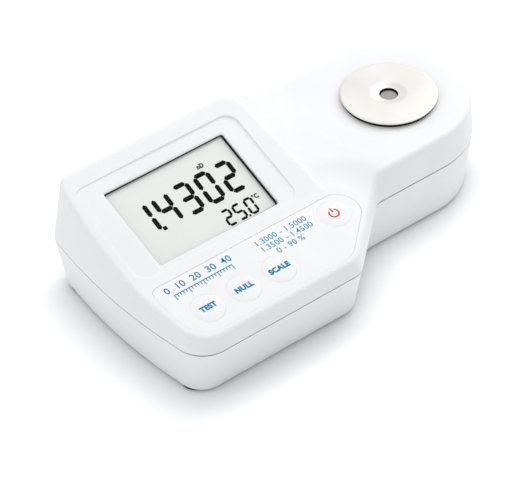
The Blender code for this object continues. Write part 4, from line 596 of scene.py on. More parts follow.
def rounded_edge(first: np.ndarray, second: np.ndarray, slope_first: np.ndarray, slope_second: float,
                 radius: float) -> np.ndarray:
    """Lower of two sloping surfaces with the edge between them rounded by an arc.

    t is the plan distance past the edge, (first - second) / (slope_first - slope_second). The tangent points
    lie radius times tan(half the turn) from the edge, and between them the height is the arc's own.

    Args:
        first: Height of the surface before the edge.
        second: Height of the surface past it.
        slope_first: Slope of the first across the edge.
        slope_second: Slope of the second across the edge.
        radius: Radius of the arc.

    Returns:
        Heights.
    """
    angle_first, angle_second = np.arctan(slope_first), np.arctan(slope_second)
    reach = radius * np.tan((angle_first - angle_second) / 2)
    start, end = -reach * np.cos(angle_first), reach * np.cos(angle_second)
    past = (first - second) / (slope_first - slope_second)
    middle = start + radius * np.sin(angle_first)
    depth = slope_first * (start - past) - radius * np.cos(angle_first)
    arc = first + depth + np.sqrt(np.maximum(radius ** 2 - (past - middle) ** 2, 0.0))
    return np.where((past > start) & (past < end), arc, np.minimum(first, second))


# Case

@dataclass
class CaseForm:
    """Outline and heights of the case, shared by its two halves and what they hold.

    The bow is the slightly round left side, and the waist the diagonal wall between the keypad and the round
    end. The ear is the overlay's round right corner, and the scoop the hollow that rises from it to the well.
    The block carries the display, the shelf leads from it down to the well, and the jog is where the back
    wall turns in behind it. A name that ends in from_left, from_front or from_back is measured from that
    side of the case, and lean is how far a wall goes in for each unit that it rises.
    """

    length: float = 0.1920
    width: float = 0.1020
    height: float = 0.0580
    split: float = 0.0250
    gap: float = 0.0003
    wall: float = 0.0020
    wall_step: float = 0.0011
    rim_step: float = 0.0015
    parting_round: float = 0.00025
    stand: float = 0.0012
    bow_radius: float = 0.2530
    bow_angle: float = math.radians(7.0)
    front_corner: float = 0.0130
    back_corner: float = 0.0110
    waist_from_left: float = 0.0867
    waist_angle: float = math.radians(41.6)
    waist_corner: float = 0.0090
    waist_fillet: float = 0.0080
    well_radius: float = 0.03583
    well_from_back: float = 0.00157
    jog_from_left: float = 0.1080
    upper_inset: float = 0.0012
    edge_round: float = 0.0020
    keypad_slope: float = math.tan(math.radians(7.8))
    keypad_front: float = 0.03263
    keypad_depth: float = 0.0383
    block_from_left: float = 0.10267
    lean: float = 0.2455
    block_corner: float = 0.0161
    block_round: float = 0.0024
    well_top: float = 0.0408
    rim_radius: float = 0.0385
    dish_radius: float = 0.0300
    dish_depth: float = 0.0005
    ring_radius: float = 0.0205
    flank_fall: float = 0.06
    shelf_top: float = 0.0395
    shelf_fall: float = 0.15
    shelf_rise: float = 0.105
    shelf_from_left: float = 0.0880
    ear_from_left: float = 0.0962
    ear_from_front: float = 0.0257
    scoop_radius: float = 0.0130
    scoop_reach: float = 0.0138
    scoop_top: float = 0.0402
    scoop_start: float = 0.0050
    panel_left: float = 0.0060
    panel_right: float = 0.0883
    panel_from_back: float = 0.0163
    panel_from_crease: float = 0.0017
    panel_corner: float = 0.0060
    panel_edge: float = 0.00014
    panel_sink: float = 0.00005
    panel_tilt: float = 0.0009
    window_length: float = 0.0609
    window_depth: float = 0.0394
    window_corner: float = 0.0012
    window_from_left: float = 0.04845
    window_from_crease: float = 0.02293
    window_lip: float = 0.0010
    window_drop: float = 0.0004
    shelf_blend: float = 0.0006
    scoop_blend: float = 0.0012
    block_blend: float = 0.0012
    block_blend_gain: float = 0.0050
    blend_start: float = 0.004
    blend_length: float = 0.014
    lower_insets: tuple[float, ...] = (0.0040, 0.0055, 0.0040, 0.0012, 0.0040)

    def __post_init__(self) -> None:
        """Work out the places that follow from the sizes."""
        self.half_x, self.half_y = self.length / 2, self.width / 2
        self.well = (self.half_x - self.well_radius, self.half_y - self.well_from_back - self.well_radius)
        self.crease_y = self.keypad_depth - self.half_y
        self.crease_z = self.keypad_front + self.keypad_depth * self.keypad_slope
        back = self.half_y - self.lean * (self.height - self.split)
        self.display_slope = (self.height - self.crease_z) / (back - self.crease_y)
        self.display_angle = math.atan(self.display_slope)
        self.block_x = self.block_from_left - self.half_x
        self.ear = (self.ear_from_left - self.half_x, self.ear_from_front - self.half_y)
        self.waist_along = np.array((math.cos(self.waist_angle), math.sin(self.waist_angle)))
        self.window = (self.window_from_left - self.half_x, self.crease_y + self.window_from_crease)
        self.panel_x = (self.panel_left - self.half_x, self.panel_right - self.half_x)
        self.panel_y = (self.crease_y + self.panel_from_crease, self.half_y - self.panel_from_back)

    def outline(self, left: float = 0.0, front: float = 0.0, waist: float = 0.0, well: float = 0.0,
                end: float = 0.0, jog: float = 0.0) -> Loop:
        """Plan outline with each wall moved in by its own inset.

        The left side is an arc, the waist a diagonal wall, the right end a half circle, and behind the
        display block the back wall turns in by the jog along a quarter of an ellipse.

        Args:
            left: Inset of the left side.
            front: Inset of the front.
            waist: Inset of the diagonal wall.
            well: Inset of the well's front.
            end: Inset of the right end and the back.
            jog: Further inset behind the block.

        Returns:
            Corner and arc points, always as many.
        """
        bow_x = -self.half_x + left - self.bow_radius * (1 / math.cos(self.bow_angle) - 1)
        bow_slope = math.tan(self.bow_angle)
        front_y, back_y = front - self.half_y, self.half_y - end
        well_front = self.well[1] - self.well_radius + well
        well_back = self.well[1] + self.well_radius - end
        along = self.waist_along
        corner = np.array((self.waist_from_left - self.half_x, -self.half_y))
        corner = corner + waist * np.array((-along[1], along[0]))

        def waist_x(level: float) -> float:
            """Place along x where the waist wall reaches a level of y."""
            return corner[0] + (level - corner[1]) * along[0] / along[1]

        turn = np.linspace(0, math.pi / 2, 33)
        jog_x, jog_end = self.jog_from_left - self.half_x, self.block_x - self.block_corner
        jog_points = [(x, y, 0.0, 0) for x, y in zip(jog_x + (jog_end - jog_x) * (1 - np.cos(turn)),
                                                     back_y - jog * np.sin(turn))]
        end_radius = (well_back - well_front) / 2
        return rounded_corners([
            (bow_x - front_y * bow_slope, front_y, self.front_corner - front / 2, 24),
            (waist_x(front_y), front_y, self.waist_corner, 16),
            (waist_x(well_front), well_front, self.waist_fillet, 16),
            (self.half_x - end, well_front, end_radius, 48), (self.half_x - end, well_back, end_radius, 48),
            *jog_points, (bow_x + (back_y - jog) * bow_slope, back_y - jog, self.back_corner - end / 2, 20),
            (bow_x, 0.0, self.bow_radius, 40)])

    def even(self, inset: float, lean: float | None = None) -> Loop:
        """Outline moved in alike all round, with the block's back at its own lean."""
        jog = 0.0 if lean is None else lean - inset
        return self.outline(inset, inset, inset, inset, inset, jog)

    def lower(self, share: float, extra: float = 0.0) -> Loop:
        """Outline of the lower case, a share of the way in to its base and an extra inset."""
        left, front, waist, well, end = (inset * share + extra for inset in self.lower_insets)
        return self.outline(left, front, waist, well, end)

    def keypad(self, y: np.ndarray) -> np.ndarray:
        """Height of the keypad plane."""
        return self.keypad_front + (y + self.half_y) * self.keypad_slope

    def display(self, y: np.ndarray) -> np.ndarray:
        """Height of the display plane."""
        return self.crease_z + (y - self.crease_y) * self.display_slope

    def block(self, x: np.ndarray, y: np.ndarray) -> tuple[np.ndarray, np.ndarray]:
        """Height of the display block, and how far its leaning wall lies below its top.

        The wall rises by 1 / lean for each unit inside the block's rounded corner.

        Args:
            x: Places along x.
            y: Places along y.

        Returns:
            The height, and the top's height less the wall's.
        """
        across = np.maximum(self.block_corner - (self.block_x - x), 0.0)
        behind = np.maximum(self.block_corner - (self.half_y - y), 0.0)
        corner = np.hypot(across, behind)
        wall = self.split + (self.block_corner - corner) / self.lean
        top = self.display(y)
        slope = self.display_slope * behind / np.maximum(corner, TINY)
        return rounded_edge(top, wall, slope, -1 / self.lean, self.block_round), top - wall

    def well_floor(self, x: np.ndarray, y: np.ndarray) -> np.ndarray:
        """Height of the well's top with its dish and rim, and of the shelf that leads to it.

        The dish is a smooth step of the distance from the well's axis, the flank past the rim falls evenly,
        and the shelf is a tilted plane cut by the block's lean.

        Args:
            x: Places along x.
            y: Places along y.

        Returns:
            Heights.
        """
        radius = np.hypot(x - self.well[0], y - self.well[1])
        dish = smooth_step((self.dish_radius - radius) / (self.dish_radius - self.ring_radius))
        flank = self.flank_fall * np.maximum(radius - self.rim_radius, 0)
        floor = self.well_top - self.dish_depth * dish - flank
        shelf = self.shelf_top - self.shelf_fall * (x - self.block_x) + self.shelf_rise * y
        shelf = np.minimum(shelf, self.split + (x - self.shelf_from_left + self.half_x) / self.lean)
        return np.where(radius > self.dish_radius, soft_max(floor, shelf, self.shelf_blend), floor)

    def ground(self, x: np.ndarray, y: np.ndarray) -> np.ndarray:
        """Height round the block: the keypad, and past the ear the hollow that rises to the well.

        The hollow rises with the square of the distance past the ear's foot circle.

        Args:
            x: Places along x.
            y: Places along y.

        Returns:
            Heights.
        """
        dx, dy = x - self.ear[0], y - self.ear[1]
        reach = np.maximum(np.hypot(dx, dy), SHORTEST)
        foot = self.keypad(self.ear[1] + dy * np.minimum(1.0, self.scoop_radius / reach))
        share = np.maximum(reach - self.scoop_radius, 0.0) / self.scoop_reach
        rise = foot + (self.scoop_top - foot) * share ** 2
        hollow = soft_min(self.well_floor(x, y), rise, self.scoop_blend)
        past = dx * self.waist_along[0] + dy * self.waist_along[1]
        keypad = self.keypad(y)
        return keypad + smooth_step(past / self.scoop_start) * (hollow - keypad)

    def panel_distance(self, x: np.ndarray, y: np.ndarray) -> np.ndarray:
        """Distance inside the display panel's rounded outline, negative outside it.

        Args:
            x: Places along x.
            y: Places along y.

        Returns:
            Distances.
        """
        (left, right), (front, back) = self.panel_x, self.panel_y
        qx = np.abs(x - (left + right) / 2) - (right - left) / 2 + self.panel_corner
        qy = np.abs(y - (front + back) / 2) - (back - front) / 2 + self.panel_corner
        outside = np.hypot(np.maximum(qx, 0.0), np.maximum(qy, 0.0)) + np.minimum(np.maximum(qx, qy), 0.0)
        return self.panel_corner - outside

    def panel_loop(self, inset: float) -> Loop:
        """Panel outline in plan.

        Args:
            inset: How far it is moved in.

        Returns:
            Points in plan.
        """
        (left, right), (front, back) = self.panel_x, self.panel_y
        box = rounded_box(right - left - 2 * inset, back - front - 2 * inset, self.panel_corner - inset, 14)
        return box + np.array(((left + right) / 2, (front + back) / 2))

    def panel_depth(self, x: np.ndarray, y: np.ndarray) -> np.ndarray:
        """Depth of the panel's step, which grows by a smooth step towards its back right corner.

        Args:
            x: Places along x.
            y: Places along y.

        Returns:
            Depths.
        """
        across = (x - self.panel_left + self.half_x) / (self.panel_right - self.panel_left)
        behind = (y - self.crease_y) / (self.half_y - self.panel_from_back - self.crease_y)
        return self.panel_sink + self.panel_tilt * smooth_step((across + behind) / 2)

    def window_distance(self, x: np.ndarray, y: np.ndarray) -> np.ndarray:
        """Distance outside the window opening's outline, in the display plane.

        Args:
            x: Places along x.
            y: Places along y.

        Returns:
            Distances.
        """
        qx = np.abs(x - self.window[0]) - self.window_length / 2
        qy = np.abs(y - self.window[1]) / math.cos(self.display_angle) - self.window_depth / 2
        return np.hypot(np.maximum(qx, 0.0), np.maximum(qy, 0.0)) + np.minimum(np.maximum(qx, qy), 0.0)

    def top(self, x: np.ndarray, y: np.ndarray) -> np.ndarray:
        """Height of the upper case's top, with the panel's step and the window's rounded lip.

        The block and the ground blend wider where the block's wall is high, and the lip falls as a quarter
        circle does, by the drop times 1 - square root of (1 - nearness²).

        Args:
            x: Places along x.
            y: Places along y.

        Returns:
            Heights.
        """
        block, below = self.block(x, y)
        steep = smooth_step((below + self.blend_start) / self.blend_length)
        steep = steep * smooth_step((y - self.crease_y) / self.blend_length)
        height = soft_max(block, self.ground(x, y), self.block_blend + steep * self.block_blend_gain)
        step = np.clip(self.panel_distance(x, y) / self.panel_edge, 0.0, 1.0)
        near = np.clip(1 - self.window_distance(x, y) / self.window_lip, 0.0, 1.0)
        lip = self.window_drop * (1 - np.sqrt(np.maximum(1 - near ** 2, 0.0)))
        return height - step * self.panel_depth(x, y) - lip

    def window_loop(self, grow: float) -> Loop:
        """Window opening in plan.

        Args:
            grow: How far it is grown in the display plane.

        Returns:
            Points in plan.
        """
        box = rounded_box(self.window_length + 2 * grow, self.window_depth + 2 * grow,
                          self.window_corner + max(grow, 0.0))
        box = spread(box, side_counts(box, self.rim_step))
        return box * np.array((1.0, math.cos(self.display_angle))) + np.array(self.window)

    def display_place(self) -> Matrix:
        """Place of the display plane's own axes, at the window's middle."""
        x, y = self.window
        return Matrix.Translation((x, y, self.display(y))) @ Matrix.Rotation(self.display_angle, 4, "X")

    def keypad_place(self, x: float, y: float) -> Matrix:
        """Place of the keypad plane's own axes, at a point in plan."""
        tilt = Matrix.Rotation(math.atan(self.keypad_slope), 4, "X")
        return Matrix.Translation((x, y, self.keypad(y))) @ tilt


def moved(points: np.ndarray, matrix: Matrix) -> np.ndarray:
    """Points, one row each, turned and moved by a matrix."""
    table = np.array(matrix)
    return points @ table[:3, :3].T + table[:3, 3]


@dataclass
class KeypadForm:
    """Overlay outline and the keys' places."""

    ear_radius: float = 0.0092
    left: float = 0.0062
    front: float = 0.0040
    corner: float = 0.0135
    back_corner: float = 0.0040
    waist_corner: float = 0.0100
    key_radius: float = 0.0068
    key_from_left: float = 0.0203
    key_from_front: float = 0.0152
    pitch: float = 0.0180
    power_shift: float = 0.00258

    def outline(self, form: CaseForm, grow: float) -> Loop:
        """Overlay outline in plan.

        Args:
            form: The case's form.
            grow: How far the outline is grown.

        Returns:
            Points in plan.
        """
        radius = self.ear_radius + grow
        along = form.waist_along
        tangent = np.array(form.ear) + np.array((along[1], -along[0])) * radius
        right, back = form.ear[0] + radius, form.ear[1] + radius
        left, front = self.left - form.half_x - grow, self.front - form.half_y - grow
        front_x = tangent[0] + (front - tangent[1]) * along[0] / along[1]
        right_y = tangent[1] + (right - tangent[0]) * along[1] / along[0]
        loop = rounded_corners([(left, front, self.corner, 20), (front_x, front, self.waist_corner, 16),
                                (right, right_y, radius, 24), (right, back, radius, 24),
                                (left, back, self.back_corner, 12)])
        return spread(loop, side_counts(loop, form.rim_step))

    def places(self, form: CaseForm) -> dict[str, Place]:
        """Place in plan of each key.

        Args:
            form: The case's form.

        Returns:
            Key names to places.
        """
        y = self.key_from_front - form.half_y
        row = {name: (self.key_from_left - form.half_x + self.pitch * index, y)
               for index, name in enumerate(("key_left", "key_middle", "key_right"))}
        return {**row, "key_power": (form.ear[0] - self.power_shift, form.ear[1])}


@dataclass
class UpperCase:
    """Upper half of the case: shaped top, window, keypad seat and well opening.

    Attributes:
        form: The case's form.
        keypad: The overlay's outline and the keys' places.
        step: Spacing of the top's loose points.
        fine_step: Their spacing across the block's leaning wall, and how near they may come to a loop.
        band: Depths inside the block's corner between which the coarse points are left out.
        fine_band: Depths between which the fine ones stand.
        band_front: How far before the crease both start.
        arc_points: Fine points round the block's corner.
        slope_reach: How far inside the rim the top's slope is taken.
        slope_limits: Least and greatest slope that the edge's rounding starts from.
        slope_window: Odd number of rim points that the slopes are smoothed over.
        wall_slope: Slope at which the rounding ends.
        edge_rings: Rings of the rounding, and of the wall below it.
        seat_depth: Depth of the overlay's seat.
        seat_gap: Gap round the overlay.
        well_hole: Radius of the hole for the ring's neck.
        well_depth: Depth of that hole's wall.
        opening_depth: Depth of the window opening's wall.
    """

    form: CaseForm
    keypad: KeypadForm
    step: float = 0.0009
    fine_step: float = 0.00036
    band: tuple[float, float] = (-0.0012, 0.0105)
    fine_band: tuple[float, float] = (-0.0010, 0.0104)
    band_front: float = 0.004
    arc_points: int = 30
    slope_reach: float = 0.0008
    slope_limits: tuple[float, float] = (math.radians(-50), math.radians(30))
    slope_window: int = 11
    wall_slope: float = math.radians(80)
    edge_rings: int = 9
    seat_depth: float = 0.0010
    seat_gap: float = 0.00009
    well_hole: float = 0.0123
    well_depth: float = 0.001
    opening_depth: float = 0.0023

    def scatter(self) -> np.ndarray:
        """Loose points: a square grid, and a finer one along the block's wall that follows its corner.

        Returns:
            Points in plan.
        """
        form = self.form
        x, y = np.meshgrid(np.arange(-form.half_x, form.half_x, self.step),
                           np.arange(-form.half_y, form.half_y, self.step) + self.step / 3)
        grid = np.stack([x.ravel(), y.ravel()], axis=1)
        centre = np.array((form.block_x - form.block_corner, form.half_y - form.block_corner))
        front = form.crease_y - self.band_front
        past = grid - centre
        depth = form.block_corner - np.where(past[:, 1] > 0, np.hypot(*past.T), past[:, 0])
        band = (depth > self.band[0]) & (depth < self.band[1]) & (grid[:, 1] > front) & (past[:, 0] > 0)
        inward = np.arange(*self.fine_band, self.fine_step)
        rows = np.arange(front, centre[1], self.step)
        dx, dy = np.meshgrid(inward, rows)
        straight = np.stack([form.block_x - dx.ravel(), dy.ravel()], axis=1)
        angle, radius = np.meshgrid(np.linspace(0, math.pi / 2, self.arc_points), form.block_corner - inward)
        arc = centre + np.stack([(radius * np.cos(angle)).ravel(), (radius * np.sin(angle)).ravel()], axis=1)
        return np.concatenate([grid[~band], straight, arc])

    def edge(self, rim: Loop, counts: np.ndarray, lean: float) -> np.ndarray:
        """Rings that round the top's edge, go down the walls and tuck in at the parting line.

        The rounding at each rim point is an arc whose slope runs from the top's own slope a to the wall's b.
        Its share of the way out is (sin a - sin t) / (sin a + sin b), and its drop radius times
        (cos t - cos a). The slopes a are first averaged along the rim with a Hann window, which softens
        kinks in the edge.

        Args:
            rim: The top's edge in plan.
            counts: Steps of each side of the outline.
            lean: How far the block's back leans in.

        Returns:
            Array of rings, points in a ring and coordinates.
        """
        form = self.form
        base = spread(form.outline(), counts)
        wall_top = spread(form.even(form.upper_inset, lean - form.edge_round), counts)
        rim_z = form.top(*rim.T)
        side = np.roll(rim, -1, axis=0) - np.roll(rim, 1, axis=0)
        outward = np.stack([side[:, 1], -side[:, 0]], axis=1) / np.maximum(np.hypot(*side.T), TINY)[:, None]
        inner = rim - outward * self.slope_reach
        slope = np.arctan((rim_z - form.top(*inner.T)) / self.slope_reach)
        start = np.clip(slope, *self.slope_limits)
        hann, half = np.hanning(self.slope_window), self.slope_window // 2
        start = np.convolve(np.concatenate([start[-half:], start, start[:half]]), hann / hann.sum(), "valid")
        shares = np.linspace(0, 1, self.edge_rings)[:, None]
        turn = start + (-self.wall_slope - start) * shares
        swing = np.sin(start) + math.sin(self.wall_slope)
        place = rim + (wall_top - rim) * ((np.sin(start) - np.sin(turn)) / swing)[:, :, None]
        height = rim_z + form.edge_round / swing * (np.cos(turn) - np.cos(start))
        low = form.split + form.gap / 2
        down = shares[1:]
        wall_plan = wall_top + (base - wall_top) * down[:, :, None]
        wall_z = height[-1] + (low + form.parting_round - height[-1]) * down
        tuck = spread(form.even(form.parting_round), counts)
        return np.concatenate([np.concatenate([place, height[:, :, None]], axis=2),
                               np.concatenate([wall_plan, wall_z[:, :, None]], axis=2),
                               at_height(tuck, low)[None]])

    def build(self) -> bpy.types.Object:
        """Skin of triangles for the top, joined to its edge, the overlay's seat and the openings' walls.

        Returns:
            The upper case.
        """
        form = self.form
        lean = form.lean * (form.height - form.split)
        counts = side_counts(form.outline(), form.wall_step)
        rim = spread(form.even(form.upper_inset + form.edge_round, lean), counts)
        seat = self.keypad.outline(form, self.seat_gap)
        opening = form.window_loop(0.0)
        well = circle(self.well_hole, form.well)
        lip = form.window_lip
        lines = (form.panel_loop(0.0), form.panel_loop(form.panel_edge),
                 *(form.window_loop(grow) for grow in (lip / 3, lip * 2 / 3, lip)))
        plan, triangles = triangulate(rim, [seat, opening, well], lines, self.scatter(), self.fine_step)
        surface = Surface()
        surface.triangles(at_height(plan, form.top(*plan.T)), triangles)
        surface.rings(self.edge(rim, counts, lean))
        seat_z = form.top(*seat.T)
        surface.rings(np.stack([at_height(seat, seat_z), at_height(seat, seat_z - self.seat_depth)]))
        holes = [circle(self.keypad.key_radius + form.gap, place, 48)
                 for place in self.keypad.places(form).values()]
        floor, faces = triangulate(seat, holes)
        surface.triangles(at_height(floor, form.keypad(floor[:, 1]) - self.seat_depth), faces)
        inward = np.array((0.0, math.sin(form.display_angle), -math.cos(form.display_angle)))
        mouth = at_height(opening, form.top(*opening.T))
        surface.rings(np.stack([mouth, mouth + inward * self.opening_depth]))
        well_z = form.top(*well.T)
        surface.rings(np.stack([at_height(well, well_z), at_height(well, well_z - self.well_depth)]))
        LOG.info("top skin has %d triangles", len(triangles))
        return surface.make("upper_shell", ABS, "case", ("upper_case",), wall=form.wall)


@dataclass
class LowerCase:
    """Lower half of the case with its battery recess and screw holes, and its rubber feet."""

    form: CaseForm
    edge_round: float = 0.0008
    wall_rings: int = 12
    edge_rings: int = 8
    recess_radius: float = 0.0300
    recess_top: float = 0.0029
    recess_inner: float = 0.0294
    recess_neck: float = 0.0045
    screw_hole: float = 0.0030
    screw_top: float = 0.0140
    shank_hole: float = 0.0017
    shank_top: float = 0.0155
    foot_radius: float = 0.0053
    tread_radius: float = 0.0051
    tread_edge: float = 0.0003
    cover: Place = (-0.0460, 0.0040)
    screws: tuple[Place, ...] = ((-0.0843, -0.0220), (-0.0843, 0.0240), (-0.0068, 0.0360), (-0.0120, -0.0375),
                                 (0.03397, -0.0126), (0.08597, 0.0136))
    feet: tuple[tuple[str, float, float], ...] = (
        ("front_left", -0.0838, -0.0365), ("back_left", -0.0838, 0.0370), ("front_right", -0.0260, -0.0385),
        ("well", 0.07997, 0.0300))

    def build(self) -> bpy.types.Object:
        """Rings down the walls and round the bottom edge, a flat base with turned pockets, and the feet.

        A wall's inset grows in proportion to the depth, and the bottom edge is a quarter circle.

        Returns:
            The lower case.
        """
        form = self.form
        counts = side_counts(form.outline(), form.wall_step)
        high = form.split - form.gap / 2
        edge = form.stand + self.edge_round
        full = high - form.stand
        heights = np.linspace(high - form.parting_round, edge, self.wall_rings)
        rings = [at_height(spread(form.even(form.parting_round), counts), high)]
        rings += [at_height(spread(form.lower((high - z) / full), counts), z) for z in heights]
        edge_share = (high - edge) / full
        for turn in np.linspace(0, math.pi / 2, self.edge_rings)[1:]:
            share = edge_share + (1 - edge_share) * math.sin(turn)
            outline = form.lower(share, self.edge_round * (1 - math.cos(turn)))
            rings.append(at_height(spread(outline, counts), edge - self.edge_round * math.sin(turn)))
        surface = Surface()
        surface.rings(np.stack(rings))
        holes = [circle(self.recess_radius, self.cover, 128)]
        holes += [circle(self.screw_hole, place, 32) for place in self.screws]
        plan, faces = triangulate(rings[-1][:, :2], holes)
        surface.triangles(at_height(plan, form.stand), faces)
        lathe(surface, [(self.recess_radius, form.stand), (self.recess_radius, self.recess_top),
                        (self.recess_inner, self.recess_top), (self.recess_inner, self.recess_neck)],
              self.cover)
        for place in self.screws:
            lathe(surface, [(self.screw_hole, form.stand), (self.screw_hole, self.screw_top),
                            (self.shank_hole, self.screw_top), (self.shank_hole, self.shank_top)], place, 32)
        for name, *place in self.feet:
            foot = Surface()
            lathe(foot, [(0.0, 0.0), (self.tread_radius - self.tread_edge, 0.0),
                         (self.tread_radius, self.tread_edge), (self.foot_radius, form.stand),
                         (0.0, form.stand)], place, 64)
            foot.make(f"rubber_foot_{name}", RUBBER, "case", (f"foot_{name}",))
        return surface.make("lower_shell", ABS, "case", ("lower_case",), wall=form.wall, up=False)


# Keypad

@dataclass(frozen=True)
class Lettering:
    """Type of a printed line.

    Attributes:
        size: Height of the type.
        bold: How far the strokes grow, as a share of the size.
        narrow: Width of the letters as a share of their own.
        spacing: Distance between letters as a share of their own.
        curve_steps: Steps in each curved stroke.
    """

    size: float
    bold: float
    narrow: float
    spacing: float = 1.06
    curve_steps: int = 6


def text_mesh(name: str, words: str, lettering: Lettering, place: Matrix, finish: Finish, body: str) -> bpy.types.Object:
    """Printed words as a thin mesh.

    Args:
        name: Name of the piece.
        words: What is printed.
        lettering: Its type.
        place: Plane that it lies on, at the words' middle.
        finish: Ink.
        body: Body that it rides on.

    Returns:
        The piece.
    """
    curve = bpy.data.curves.new(name + "_curve", "FONT")
    curve.body = words
    curve.size = lettering.size
    curve.extrude = INK_HALF
    curve.offset = lettering.bold * lettering.size
    curve.resolution_u = lettering.curve_steps
    curve.space_character = lettering.spacing
    curve.align_x = "CENTER"
    curve.align_y = "CENTER"
    writing = bpy.data.objects.new(name + "_curve", curve)
    bpy.context.scene.collection.objects.link(writing)
    bpy.context.view_layer.update()
    mesh = bpy.data.meshes.new_from_object(writing.evaluated_get(bpy.context.evaluated_depsgraph_get()))
    bpy.data.objects.remove(writing)
    squeeze = Matrix.Diagonal((lettering.narrow, 1.0, 1.0, 1.0))
    mesh.transform(place @ Matrix.Translation((0, 0, INK_HALF)) @ squeeze)
    mesh.name = name
    work = bmesh.new()
    work.from_mesh(mesh)
    bmesh.ops.remove_doubles(work, verts=work.verts, dist=SLIVER)
    bmesh.ops.recalc_face_normals(work, faces=work.faces)
    work.to_mesh(mesh)
    work.free()
    piece = bpy.data.objects.new(name, mesh)
    bpy.context.scene.collection.objects.link(piece)
    mesh.materials.clear()
    mesh.materials.append(finish.material())
    declare(piece, body)
    return piece


def plates(name: str, outlines: list[Loop], low: float, high: float, place: Matrix, finish: Finish, body: str) -> bpy.types.Object:
    """Flat plates of any outline as one piece.

    Args:
        name: Name of the piece.
        outlines: Convex loops in the plane's own axes.
        low: Level of their backs.
        high: Level of their faces.
        place: Place of the plane.
        finish: Finish.
        body: Body that they ride on.

    Returns:
        The piece.
    """
    surface = Surface()
    for outline in outlines:
        sides = np.concatenate([at_height(outline, low), at_height(outline, high)])
        index = surface.rings(moved(sides, place).reshape(2, -1, 3))
        surface.cap(index[0][::-1])
        surface.cap(index[1])
    return surface.make(name, finish, body)


